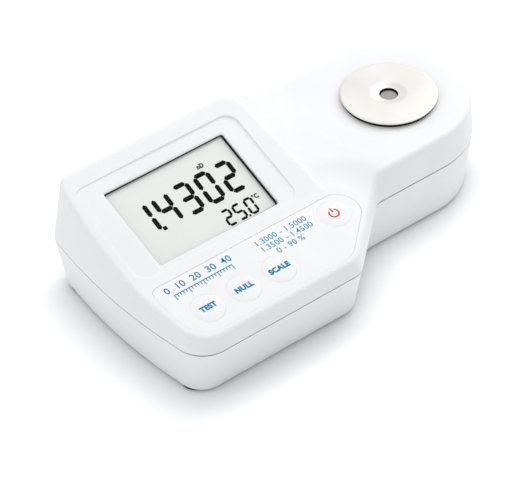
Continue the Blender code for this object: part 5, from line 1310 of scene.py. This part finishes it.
@dataclass
class Keypad:
    """Overlay film with its four domed keys and their printing.

    Attributes:
        form: The case's form.
        layout: The overlay's outline and the keys' places.
        film: Thickness of the overlay.
        sink: How far it lies below the case.
        film_edge: Bevel of its edge.
        key_gap: Gap round a key in its hole.
        dome: Height of a key's dome.
        dome_points: Points from its edge to its middle.
        skirt: Depth of a key's side.
        legends: Keys and the words on them.
        legend_type: Type of those words.
        legend_shift: How far they stand to the right of the middle.
        sign_angles: Start and end of the power sign's ring.
        sign_radii: Its inner and outer radius.
        sign_points: Its angles.
        sign_bar: Width and height of its bar.
        sign_bar_round: Corner radius of the bar.
        sign_bar_rise: How far the bar's middle stands above the key's.
        ranges: Number ranges with their places.
        range_type: Their type.
        numbers: The scale's numbers with their place.
        number_type: Their type.
        scale_place: Place of the scale.
        ticks: Number of its ticks.
        ticks_apart: Ticks from one long tick to the next.
        tick_pitch: Their spacing.
        first_tick: Place of the first along the scale.
        tick_width: Width of a tick and of the line that joins them.
        long_tick: Length and level of a long tick.
        short_tick: Length and level of a short one.
        line: Length and level of that line.
        line_round: Corner radius of ticks and line.
    """

    form: CaseForm
    layout: KeypadForm
    film: float = 0.0006
    sink: float = 0.00005
    film_edge: float = 0.00006
    key_gap: float = 0.000012
    dome: float = 0.00045
    dome_points: int = 17
    skirt: float = 0.0045
    legends: tuple[tuple[str, str], ...] = (
        ("key_left", "TEST"), ("key_middle", "NULL"), ("key_right", "SCALE"))
    legend_type: Lettering = Lettering(size=0.0035, bold=0.055, narrow=0.96)
    legend_shift: float = 0.0002
    sign_angles: tuple[float, float] = (math.radians(125), math.radians(415))
    sign_radii: tuple[float, float] = (0.0017, 0.00242)
    sign_points: int = 41
    sign_bar: tuple[float, float] = (0.00072, 0.0026)
    sign_bar_round: float = 0.0002
    sign_bar_rise: float = 0.0018
    ranges: tuple[tuple[str, float, float], ...] = (
        ("1.3000 - 1.5000", -0.0265, -0.0205), ("1.3500 - 1.4500", -0.0262, -0.0243),
        ("0 - 90 %", -0.0272, -0.0281))
    range_type: Lettering = Lettering(size=0.0040, bold=0.006, narrow=0.98)
    numbers: tuple[str, float, float] = ("0  10  20  30  40", -0.0683, -0.0200)
    number_type: Lettering = Lettering(size=0.0046, bold=0.012, narrow=1.0)
    scale_place: Place = (-0.0683, -0.0254)
    ticks: int = 21
    ticks_apart: int = 5
    tick_pitch: float = 0.00144
    first_tick: float = -0.0144
    tick_width: float = 0.0004
    long_tick: tuple[float, float] = (0.0026, 0.0009)
    short_tick: tuple[float, float] = (0.0015, 0.00145)
    line: tuple[float, float] = (0.0292, 0.0022)
    line_round: float = 0.00005

    def build(self) -> None:
        """Make the film, the keys and the printing."""
        form, layout = self.form, self.layout
        places = layout.places(form)
        outer = layout.outline(form, 0.0)
        eased = layout.outline(form, -self.film_edge)
        holes = [circle(layout.key_radius + form.gap, place) for place in places.values()]
        plan, faces = triangulate(eased, holes)
        surface = Surface()
        surface.triangles(self.below(plan, 0.0), faces)
        surface.triangles(self.below(plan, self.film), faces[:, ::-1])
        surface.rings(np.stack([self.below(eased, 0.0), self.below(outer, self.film_edge),
                                self.below(eased, self.film)]))
        for hole in holes:
            surface.rings(np.stack([self.below(hole, 0.0), self.below(hole, self.film)]))
        surface.make("keypad_film", FILM, "case", ("keypad_overlay",))
        for name, place in places.items():
            self.key(name, place)
        shift = Matrix.Translation((self.legend_shift, 0.0, self.dome - self.sink + INK_HALF))
        for name, words in self.legends:
            text_mesh(name.replace("key", "legend"), words, self.legend_type,
                      form.keypad_place(*places[name]) @ shift, BLUE_INK, name)
        self.power_sign(places["key_power"])
        self.scale_print()

    def below(self, loop: Loop, depth: float) -> np.ndarray:
        """Plan points on the overlay's face, or a depth below it."""
        return at_height(loop, self.form.keypad(loop[:, 1]) - self.sink - depth)

    def key(self, name: str, place: Place) -> None:
        """Key cap: its height above the film is the dome times 1 - (r / radius)⁴, over a straight skirt.

        Args:
            name: Name of the key, which is also its body's and its node's.
            place: Its middle in plan.
        """
        radius = self.layout.key_radius + self.form.gap - self.key_gap
        share = np.linspace(1, 0, self.dome_points)
        profile = [(0.0, -self.skirt), (radius, -self.skirt)]
        profile += [(radius * s, self.dome * (1 - s ** 4) - self.sink) for s in share]
        surface = Surface()
        lathe(surface, profile, (0.0, 0.0), 96)
        surface.points = [moved(points, self.form.keypad_place(*place)) for points in surface.points]
        surface.make(name + "_cap", FILM, name, (name,), sharp=50.0)

    def power_sign(self, place: Place) -> None:
        """Power sign: an open ring of small plates and an upright bar.

        Args:
            place: The key's middle in plan.
        """
        level = self.dome - self.sink
        inner, outer = self.sign_radii
        angle = np.linspace(*self.sign_angles, self.sign_points)
        ring = [np.array([(r * math.cos(a), r * math.sin(a))
                          for a, r in ((a0, inner), (a0, outer), (a1, outer), (a1, inner))])
                for a0, a1 in zip(angle, angle[1:])]
        bar = rounded_box(*self.sign_bar, self.sign_bar_round, 4) + np.array((0.0, self.sign_bar_rise))
        plates("power_sign", [*ring, bar], level, level + 2 * INK_HALF, self.form.keypad_place(*place),
               RED_INK, "key_power")

    def scale_print(self) -> None:
        """Plain scale and number ranges printed on the film."""
        form = self.form
        level = Matrix.Translation((0, 0, INK_HALF - self.sink))
        for index, (words, *place) in enumerate(self.ranges, 1):
            text_mesh(f"range_line_{index}", words, self.range_type, form.keypad_place(*place) @ level,
                      PALE_INK, "case")
        words, *place = self.numbers
        text_mesh("scale_numbers", words, self.number_type, form.keypad_place(*place) @ level, BLUE_INK,
                  "case")
        loops = []
        for number in range(self.ticks):
            length, rise = self.short_tick if number % self.ticks_apart else self.long_tick
            loops.append(rounded_box(self.tick_width, length, self.line_round, 1)
                         + np.array((self.first_tick + self.tick_pitch * number, rise)))
        length, rise = self.line
        loops.append(rounded_box(length, self.tick_width, self.line_round, 1) + np.array((0.0, rise)))
        plates("scale_ticks", loops, 0.0, 2 * INK_HALF, form.keypad_place(*self.scale_place) @ level,
               BLUE_INK, "case")


# Display

# Ends of each segment, in widths and half heights from the digit's lower left corner.
SEGMENTS = {"a": ((0, 2), (1, 2)), "b": ((1, 2), (1, 1)), "c": ((1, 1), (1, 0)), "d": ((0, 0), (1, 0)),
            "e": ((0, 1), (0, 0)), "f": ((0, 2), (0, 1)), "g": ((0, 1), (1, 1))}
DIGITS = {"0": "abcdef", "1": "bc", "2": "abged", "3": "abgcd", "4": "fgbc", "5": "afgcd"}


@dataclass(frozen=True)
class Reading:
    """Seven-segment number with its decimal point.

    Attributes:
        digits: What it shows.
        places: Lower left corner of each digit along x, at the middle of the strokes.
        level: Their place along y.
        width: Distance between a digit's upright strokes.
        height: Distance between its top and bottom strokes.
        stroke: Width of a stroke.
        slant: Sideways shift for each unit of height.
        dot: Side of the decimal point.
        dot_round: Its corner radius.
        dot_place: Its middle.
        point_gap: How far a segment stays from its corners, in strokes.
        point_length: Length of its pointed end, in strokes.
    """

    digits: str
    places: tuple[float, ...]
    level: float
    width: float
    height: float
    stroke: float
    slant: float
    dot: float
    dot_round: float
    dot_place: Place
    point_gap: float = 0.10
    point_length: float = 0.42

    def segment(self, name: str, place: Place) -> Loop:
        """One segment, a bar with pointed ends.

        Args:
            name: Letter of the segment.
            place: The digit's lower left corner.

        Returns:
            Points in the display's own plane.
        """
        ends = np.array(SEGMENTS[name], float) * (self.width, self.height / 2)
        along = unit(ends[1] - ends[0])
        across = np.array((-along[1], along[0])) * self.stroke / 2
        start = ends[0] + along * self.stroke * self.point_gap
        end = ends[1] - along * self.stroke * self.point_gap
        near = start + along * self.stroke * self.point_length
        far = end - along * self.stroke * self.point_length
        loop = np.array([start, near - across, far - across, end, far + across, near + across])
        return loop + np.stack([loop[:, 1] * self.slant, np.zeros(len(loop))], axis=1) + place

    def loops(self) -> list[Loop]:
        """Outlines of its segments and of its point.

        Returns:
            Loops in the display's own plane.
        """
        bars = [self.segment(name, (x, self.level))
                for digit, x in zip(self.digits, self.places) for name in DIGITS[digit]]
        return [*bars, rounded_box(self.dot, self.dot, self.dot_round, 3) + np.array(self.dot_place)]


@dataclass
class Display:
    """Window gasket, pane and the liquid crystal's readings.

    Attributes:
        form: The case's form.
        gasket_wall: Width of the gasket.
        slide: How far its inner edge is moved across the window.
        gasket_top: Level of its top, from the display plane.
        gasket_low: Level of its underside.
        fit: Gap round the gasket, twice the one round the pane.
        pane_top: Level of the pane's face.
        pane_low: Level of its back.
        ink_low: Level of the readings' backs.
        ink_high: Level of their faces.
        readings: The numbers.
        signs: Pieces of text with their words and places.
        sign_type: Their type.
    """

    form: CaseForm
    gasket_wall: float = 0.00038
    slide: tuple[float, float] = (-0.00006, -0.00014)
    gasket_top: float = -0.0018
    gasket_low: float = -0.0026
    fit: float = 0.0001
    pane_top: float = -0.0019
    pane_low: float = -0.0026
    ink_low: float = -0.0029
    ink_high: float = -0.00284
    readings: tuple[Reading, ...] = (
        Reading("14302", places=(-0.0247, -0.01395, -0.0031, 0.00755, 0.01825), level=-0.00545, width=0.0062,
                height=0.0136, stroke=0.0021, slant=0.02, dot=0.0018, dot_round=0.0003,
                dot_place=(-0.0167, -0.0054)),
        Reading("250", places=(0.0075, 0.0130, 0.0189), level=-0.0178, width=0.0034, height=0.0070,
                stroke=0.0011, slant=0.03, dot=0.0009, dot_round=0.00015, dot_place=(0.01755, -0.0179)))
    signs: tuple[tuple[str, str, float, float], ...] = (
        ("lcd_unit", "nD", 0.0136, 0.0115), ("lcd_degrees", "°C", 0.0248, -0.0116))
    sign_type: Lettering = Lettering(size=0.0028, bold=0.045, narrow=0.95)

    def build(self) -> None:
        """Make the gasket, the pane and the readings."""
        place = self.form.display_place()
        wall, top, low = self.gasket_wall, self.gasket_top, self.gasket_low
        shoulder = top - wall / 3
        profile = [(0.0, shoulder), (wall / 3, top), (wall * 2 / 3, top), (wall, shoulder), (wall, low),
                   (0.0, low), (0.0, shoulder)]
        surface = Surface()
        surface.rings(moved(np.concatenate([self.frame_loop(inset, level) for inset, level in profile]),
                            place).reshape(len(profile), -1, 3))
        surface.make("window_seal", RUBBER, "case", ("window_gasket",))
        pane = Surface()
        edge = wall + self.fit / 2
        faces = np.concatenate([self.frame_loop(edge, self.pane_low), self.frame_loop(edge, self.pane_top)])
        index = pane.rings(moved(faces, place).reshape(2, -1, 3))
        pane.cap(index[0][::-1])
        pane.cap(index[1])
        pane.make("window_pane", PANE, "case", ("display_window",))
        loops = [loop for reading in self.readings for loop in reading.loops()]
        plates("lcd_readings", loops, self.ink_low, self.ink_high, place, LCD_INK, "case")
        for name, words, x, y in self.signs:
            text_mesh(name, words, self.sign_type,
                      place @ Matrix.Translation((x, y, self.ink_high - 2 * INK_HALF)), LCD_INK, "case")

    def frame_loop(self, inset: float, level: float) -> np.ndarray:
        """Window outline in the display plane's axes.

        Args:
            inset: How far it is moved in past its fit; it slides across the window in proportion.
            level: Its height over the plane.

        Returns:
            Points in the plane's axes.
        """
        grow = -2 * (self.fit + inset)
        box = rounded_box(self.form.window_length + grow, self.form.window_depth + grow,
                          self.form.window_corner - self.fit - inset)
        return at_height(box + np.array(self.slide) * inset / self.gasket_wall, level)


@dataclass
class SampleWell:
    """Steel ring with the sample bowl, on its gasket, and the seal round the prism, whose black lining of the
    hole is partly painted shade.

    Attributes:
        form: The case's form.
        top: Height of the ring's top.
        radius: Its outer radius.
        thickness: Thickness of its flange.
        bowl: Radius of the bowl's rim.
        hole: Radius of the hole at its bottom.
        bowl_depth: Its depth.
        web: Thickness of steel under it.
        neck: Outer radius of the neck.
        bore: Inner radius of the neck.
        neck_length: From the ring's top to the neck's end.
        gasket_radius: Outer radius of the ring's gasket.
        gasket_low: Height of its underside.
        seal_and_shade_lip: How far the prism's seal shows inside the hole; its black lining is real seal and
            partly painted shade for the hole's shadowed wall.
        bowl_points: Points along the bowl's side.
        ring_steps: Steps round the ring and its gasket.
        seal_steps: Steps round the prism's seal.
    """

    form: CaseForm
    top: float = 0.04274
    radius: float = 0.0205
    thickness: float = 0.0008
    bowl: float = 0.0080
    hole: float = 0.0040
    bowl_depth: float = 0.0006
    web: float = 0.00015
    neck: float = 0.0120
    bore: float = 0.0074
    neck_length: float = 0.0092
    gasket_radius: float = 0.0198
    gasket_low: float = 0.0402
    seal_and_shade_lip: float = 0.0001
    bowl_points: int = 17
    ring_steps: int = 160
    seal_steps: int = 96

    def build(self) -> None:
        """Turn the ring and its seals.

        The bowl's side is a cosine curve down to its hole: its depth times (1 - cos(pi s)) / 2 at the share s
        of the way in. The flat top has circles of its own beside both edges, which keep its shading level.
        """
        top, gap, edge = self.top, self.form.gap, self.thickness / 3
        under, neck_low = top - self.thickness, top - self.neck_length
        web_low = top - self.bowl_depth - self.web
        bowl = [(self.bowl + (self.hole - self.bowl) * s,
                 top - self.bowl_depth * (1 - math.cos(math.pi * s)) / 2)
                for s in np.linspace(0, 1, self.bowl_points)]
        self.turn("sample_ring", STEEL, Slot.STEEL, "well_ring", self.ring_steps, [
            (self.hole, web_low), (self.bore, web_low), (self.bore, neck_low), (self.neck, neck_low),
            (self.neck, under), (self.radius - edge / 2, under), (self.radius, under + edge / 2),
            (self.radius, top - edge), (self.radius - edge / 3, top - edge / 3), (self.radius - edge, top),
            (self.radius - 2 * edge, top), (self.bowl + edge, top), *bowl, (self.hole, web_low)])
        # The prism's seal runs up the hole's wall in black: partly real seal, partly painted shade standing
        # in for the shadow inside the hole.
        inner, outer = self.hole - self.seal_and_shade_lip, self.bore - gap
        seal_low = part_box("prism_seal")[0][2]
        self.turn("prism_gasket_and_hole_shade", RUBBER, Slot.RUBBER, "prism_seal", self.seal_steps, [
            (inner, web_low - gap), (outer, web_low - gap), (outer, seal_low), (inner, seal_low),
            (inner, web_low - gap)])
        inner, outer = self.neck + gap, self.gasket_radius
        self.turn("ring_gasket", RUBBER, Slot.RUBBER, "well_gasket", self.ring_steps, [
            (inner, self.gasket_low), (outer, self.gasket_low), (outer, under - gap), (inner, under - gap),
            (inner, self.gasket_low)])

    def turn(self, name: str, finish: Finish, slot: Slot, node: str, segments: int,
             profile: list[Place]) -> None:
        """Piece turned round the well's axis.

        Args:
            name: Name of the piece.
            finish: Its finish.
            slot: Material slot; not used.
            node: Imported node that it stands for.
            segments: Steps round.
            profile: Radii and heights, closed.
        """
        surface = Surface()
        lathe(surface, profile, self.form.well, segments)
        surface.make(name, finish, "case", (node,))


# Stage

@dataclass(frozen=True)
class Lamp:
    """Square soft light aimed at the object; one that isn't mirrored lights it without a highlight.

    Attributes:
        name: Its name.
        place: Its middle.
        size: Its side.
        power: Its power in watts.
        mirrored: Whether surfaces reflect it.
    """

    name: str
    place: tuple[float, float, float]
    size: float
    power: float
    mirrored: bool = True


@dataclass
class Studio:
    """Floor, lights and the camera at the photograph's viewing angle.

    Attributes:
        azimuth: Direction of view in plan, from +Y towards +X.
        elevation: How far it looks down.
        distance: From the camera to the target.
        target: Point that the lamps are aimed at and the camera's distance is measured from.
        focal_pixels: Focal length in pixels.
        frame_pixels: The photograph's size.
        target_pixel: Where the target lies in it.
        sensor: Sensor width in millimetres.
        clip_end: Farthest that the camera sees.
        dome_level: Strength of the even light from all round.
        floor_half: Half the floor's side.
        floor_points: Points along its side.
        floor_lift: How much of its colour the floor shows the eye on top of the light it gets.
        paper_scale: Scale of the paper's grain.
        shade_reach: Distance within which things darken the floor.
        shade_share: Strength of that shade.
        lamps: The lights.
    """

    azimuth: float = math.radians(39.493)
    elevation: float = math.radians(40.811)
    distance: float = 1.3435
    target: tuple[float, float, float] = (0.0, 0.0, 0.025)
    focal_pixels: float = 3257.994
    frame_pixels: tuple[int, int] = (520, 477)
    target_pixel: Place = (298.723, 200.599)
    sensor: float = 36.0
    clip_end: float = 50.0
    dome_level: float = 0.66
    floor_half: float = 3.0
    floor_points: int = 9
    floor_lift: float = 0.18
    paper_scale: float = 400.0
    shade_reach: float = 0.018
    shade_share: float = 0.5
    lamps: tuple[Lamp, ...] = (
        Lamp("right_light", place=(0.74, 0.17, 0.60), size=0.55, power=2.3),
        Lamp("top_light", place=(0.24, 0.34, 1.10), size=0.80, power=3.1, mirrored=False),
        Lamp("left_light", place=(-0.85, 0.10, 0.65), size=0.60, power=1.0))

    def camera(self) -> None:
        """Camera whose middle ray is turned from the target to the photograph's middle."""
        a, e = self.azimuth, self.elevation
        forward = Vector((math.sin(a) * math.cos(e), math.cos(a) * math.cos(e), -math.sin(e)))
        right = Vector((math.cos(a), -math.sin(a), 0.0))
        up = right.cross(forward)
        off_x = (self.frame_pixels[0] / 2 - self.target_pixel[0]) / self.focal_pixels
        off_y = (self.frame_pixels[1] / 2 - self.target_pixel[1]) / self.focal_pixels
        aim = (forward + right * off_x - up * off_y).normalized()
        turn = forward.rotation_difference(aim).to_matrix()
        axes = turn @ Matrix((right, up, -forward)).transposed()
        data = bpy.data.cameras.new("camera")
        data.sensor_width = self.sensor
        data.lens = self.sensor * self.focal_pixels / self.frame_pixels[0]
        data.clip_end = self.clip_end
        camera = bpy.data.objects.new("camera", data)
        stand = Vector(self.target) - forward * self.distance
        camera.matrix_world = Matrix.Translation(stand) @ axes.to_4x4()
        bpy.context.scene.collection.objects.link(camera)
        bpy.context.scene.camera = camera

    def seen_share(self, tree: bpy.types.NodeTree) -> bpy.types.NodeSocket:
        """Nodes that tell rays to the eye, straight, mirrored or through glass, from the rest.

        Args:
            tree: Node tree that gets them.

        Returns:
            Socket that is one for such a ray and zero for others.
        """
        path = add_node(tree, "ShaderNodeLightPath").outputs
        seen = path["Is Camera Ray"]
        for other in ("Is Glossy Ray", "Is Transmission Ray"):
            seen = add_node(tree, "ShaderNodeMath", {0: seen, 1: path[other]}, operation="MAXIMUM").outputs[0]
        return seen

    def world(self) -> None:
        """White backdrop to the eye, and an even pale dome as light."""
        world = bpy.data.worlds.new("studio")
        bpy.context.scene.world = world
        world.use_nodes = True
        tree = world.node_tree
        dome = add_node(tree, "ShaderNodeBackground", {
            "Color": linear("FDFEFF"), "Strength": self.dome_level})
        white = add_node(tree, "ShaderNodeBackground", {"Color": linear("FFFFFF"), "Strength": 1.0})
        mixed = add_node(tree, "ShaderNodeMixShader", {
            0: self.seen_share(tree), 1: dome.outputs[0], 2: white.outputs[0]})
        tree.links.new(mixed.outputs[0], tree.nodes["World Output"].inputs["Surface"])

    def floor(self) -> None:
        """White paper floor that keeps the object's shadow.

        It is lifted a little to the eye, so that it is white where it is lit. Close to the object it is
        darkened by an occlusion node at part strength, on top of the shadow that it gets.
        """
        grid = np.linspace(-self.floor_half, self.floor_half, self.floor_points)
        x, y = np.meshgrid(grid, grid)
        surface = Surface()
        surface.rings(np.stack([x, y, np.zeros_like(x)], axis=-1), closed=False)
        mesh = bpy.data.meshes.new("floor")
        mesh.from_pydata(np.concatenate(surface.points).tolist(), [], surface.faces)
        floor = bpy.data.objects.new("floor", mesh)
        bpy.context.scene.collection.objects.link(floor)
        material = bpy.data.materials.new("white_paper_backdrop")
        material.use_nodes = True
        tree = material.node_tree
        tree.nodes.remove(tree.nodes["Principled BSDF"])
        place = add_node(tree, "ShaderNodeTexCoord").outputs["Object"]
        grain = add_node(tree, "ShaderNodeTexNoise", {
            "Vector": place, "Scale": self.paper_scale, "Detail": 2.0})
        tint = add_node(tree, "ShaderNodeMix", {
            "Factor": grain.outputs["Fac"], "A": linear("FFFFFF"), "B": linear("FCFCFD")}, data_type="RGBA")
        tint = tint.outputs["Result"]
        nearby = add_node(tree, "ShaderNodeAmbientOcclusion", {"Color": tint, "Distance": self.shade_reach})
        shade = add_node(tree, "ShaderNodeMix", {
            "Factor": self.shade_share, "A": tint, "B": nearby.outputs["Color"]}, data_type="RGBA")
        shade = shade.outputs["Result"]
        paper = add_node(tree, "ShaderNodeBsdfDiffuse", {"Color": shade})
        share = add_node(tree, "ShaderNodeMath", {0: self.seen_share(tree), 1: self.floor_lift},
                         operation="MULTIPLY")
        white = add_node(tree, "ShaderNodeEmission", {"Color": shade, "Strength": share.outputs[0]})
        mixed = add_node(tree, "ShaderNodeAddShader", {0: paper.outputs[0], 1: white.outputs[0]})
        tree.links.new(mixed.outputs[0], tree.nodes["Material Output"].inputs["Surface"])
        mesh.materials.append(material)

    def light(self, lamp: Lamp) -> None:
        """Put up one light.

        Args:
            lamp: The light.
        """
        data = bpy.data.lights.new(lamp.name, "AREA")
        data.shape = "SQUARE"
        data.size = lamp.size
        data.energy = lamp.power
        light = bpy.data.objects.new(lamp.name, data)
        toward = Vector(self.target) - Vector(lamp.place)
        turn = toward.to_track_quat("-Z", "Y").to_matrix().to_4x4()
        light.matrix_world = Matrix.Translation(lamp.place) @ turn
        light.visible_glossy = lamp.mirrored
        bpy.context.scene.collection.objects.link(light)

    def build(self) -> None:
        """Set up the camera, the backdrop and the lights."""
        self.camera()
        self.world()
        self.floor()
        for lamp in self.lamps:
            self.light(lamp)
        bpy.context.scene.view_settings.view_transform = "Standard"


def dress_nodes() -> None:
    """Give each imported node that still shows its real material."""
    for name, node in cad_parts.items():
        match = max((key for key in INNER_FINISHES if name.startswith(key)), key=len, default=None)
        if match is None:
            continue
        material = INNER_FINISHES[match].material()
        if not node.material_slots:
            node.data.materials.append(material)
        for slot in node.material_slots:
            slot.material = material
    LOG.info("dressed %d packed nodes", len(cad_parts))


def main() -> None:
    """Build the refractometer's pieces in order, then the studio."""
    logging.basicConfig(level=logging.INFO, format="%(message)s")
    form, layout = CaseForm(), KeypadForm()
    UpperCase(form, layout).build()
    LowerCase(form).build()
    Keypad(form, layout).build()
    Display(form).build()
    SampleWell(form).build()
    dress_nodes()
    Studio().build()


if __name__ == "__main__":
    main()
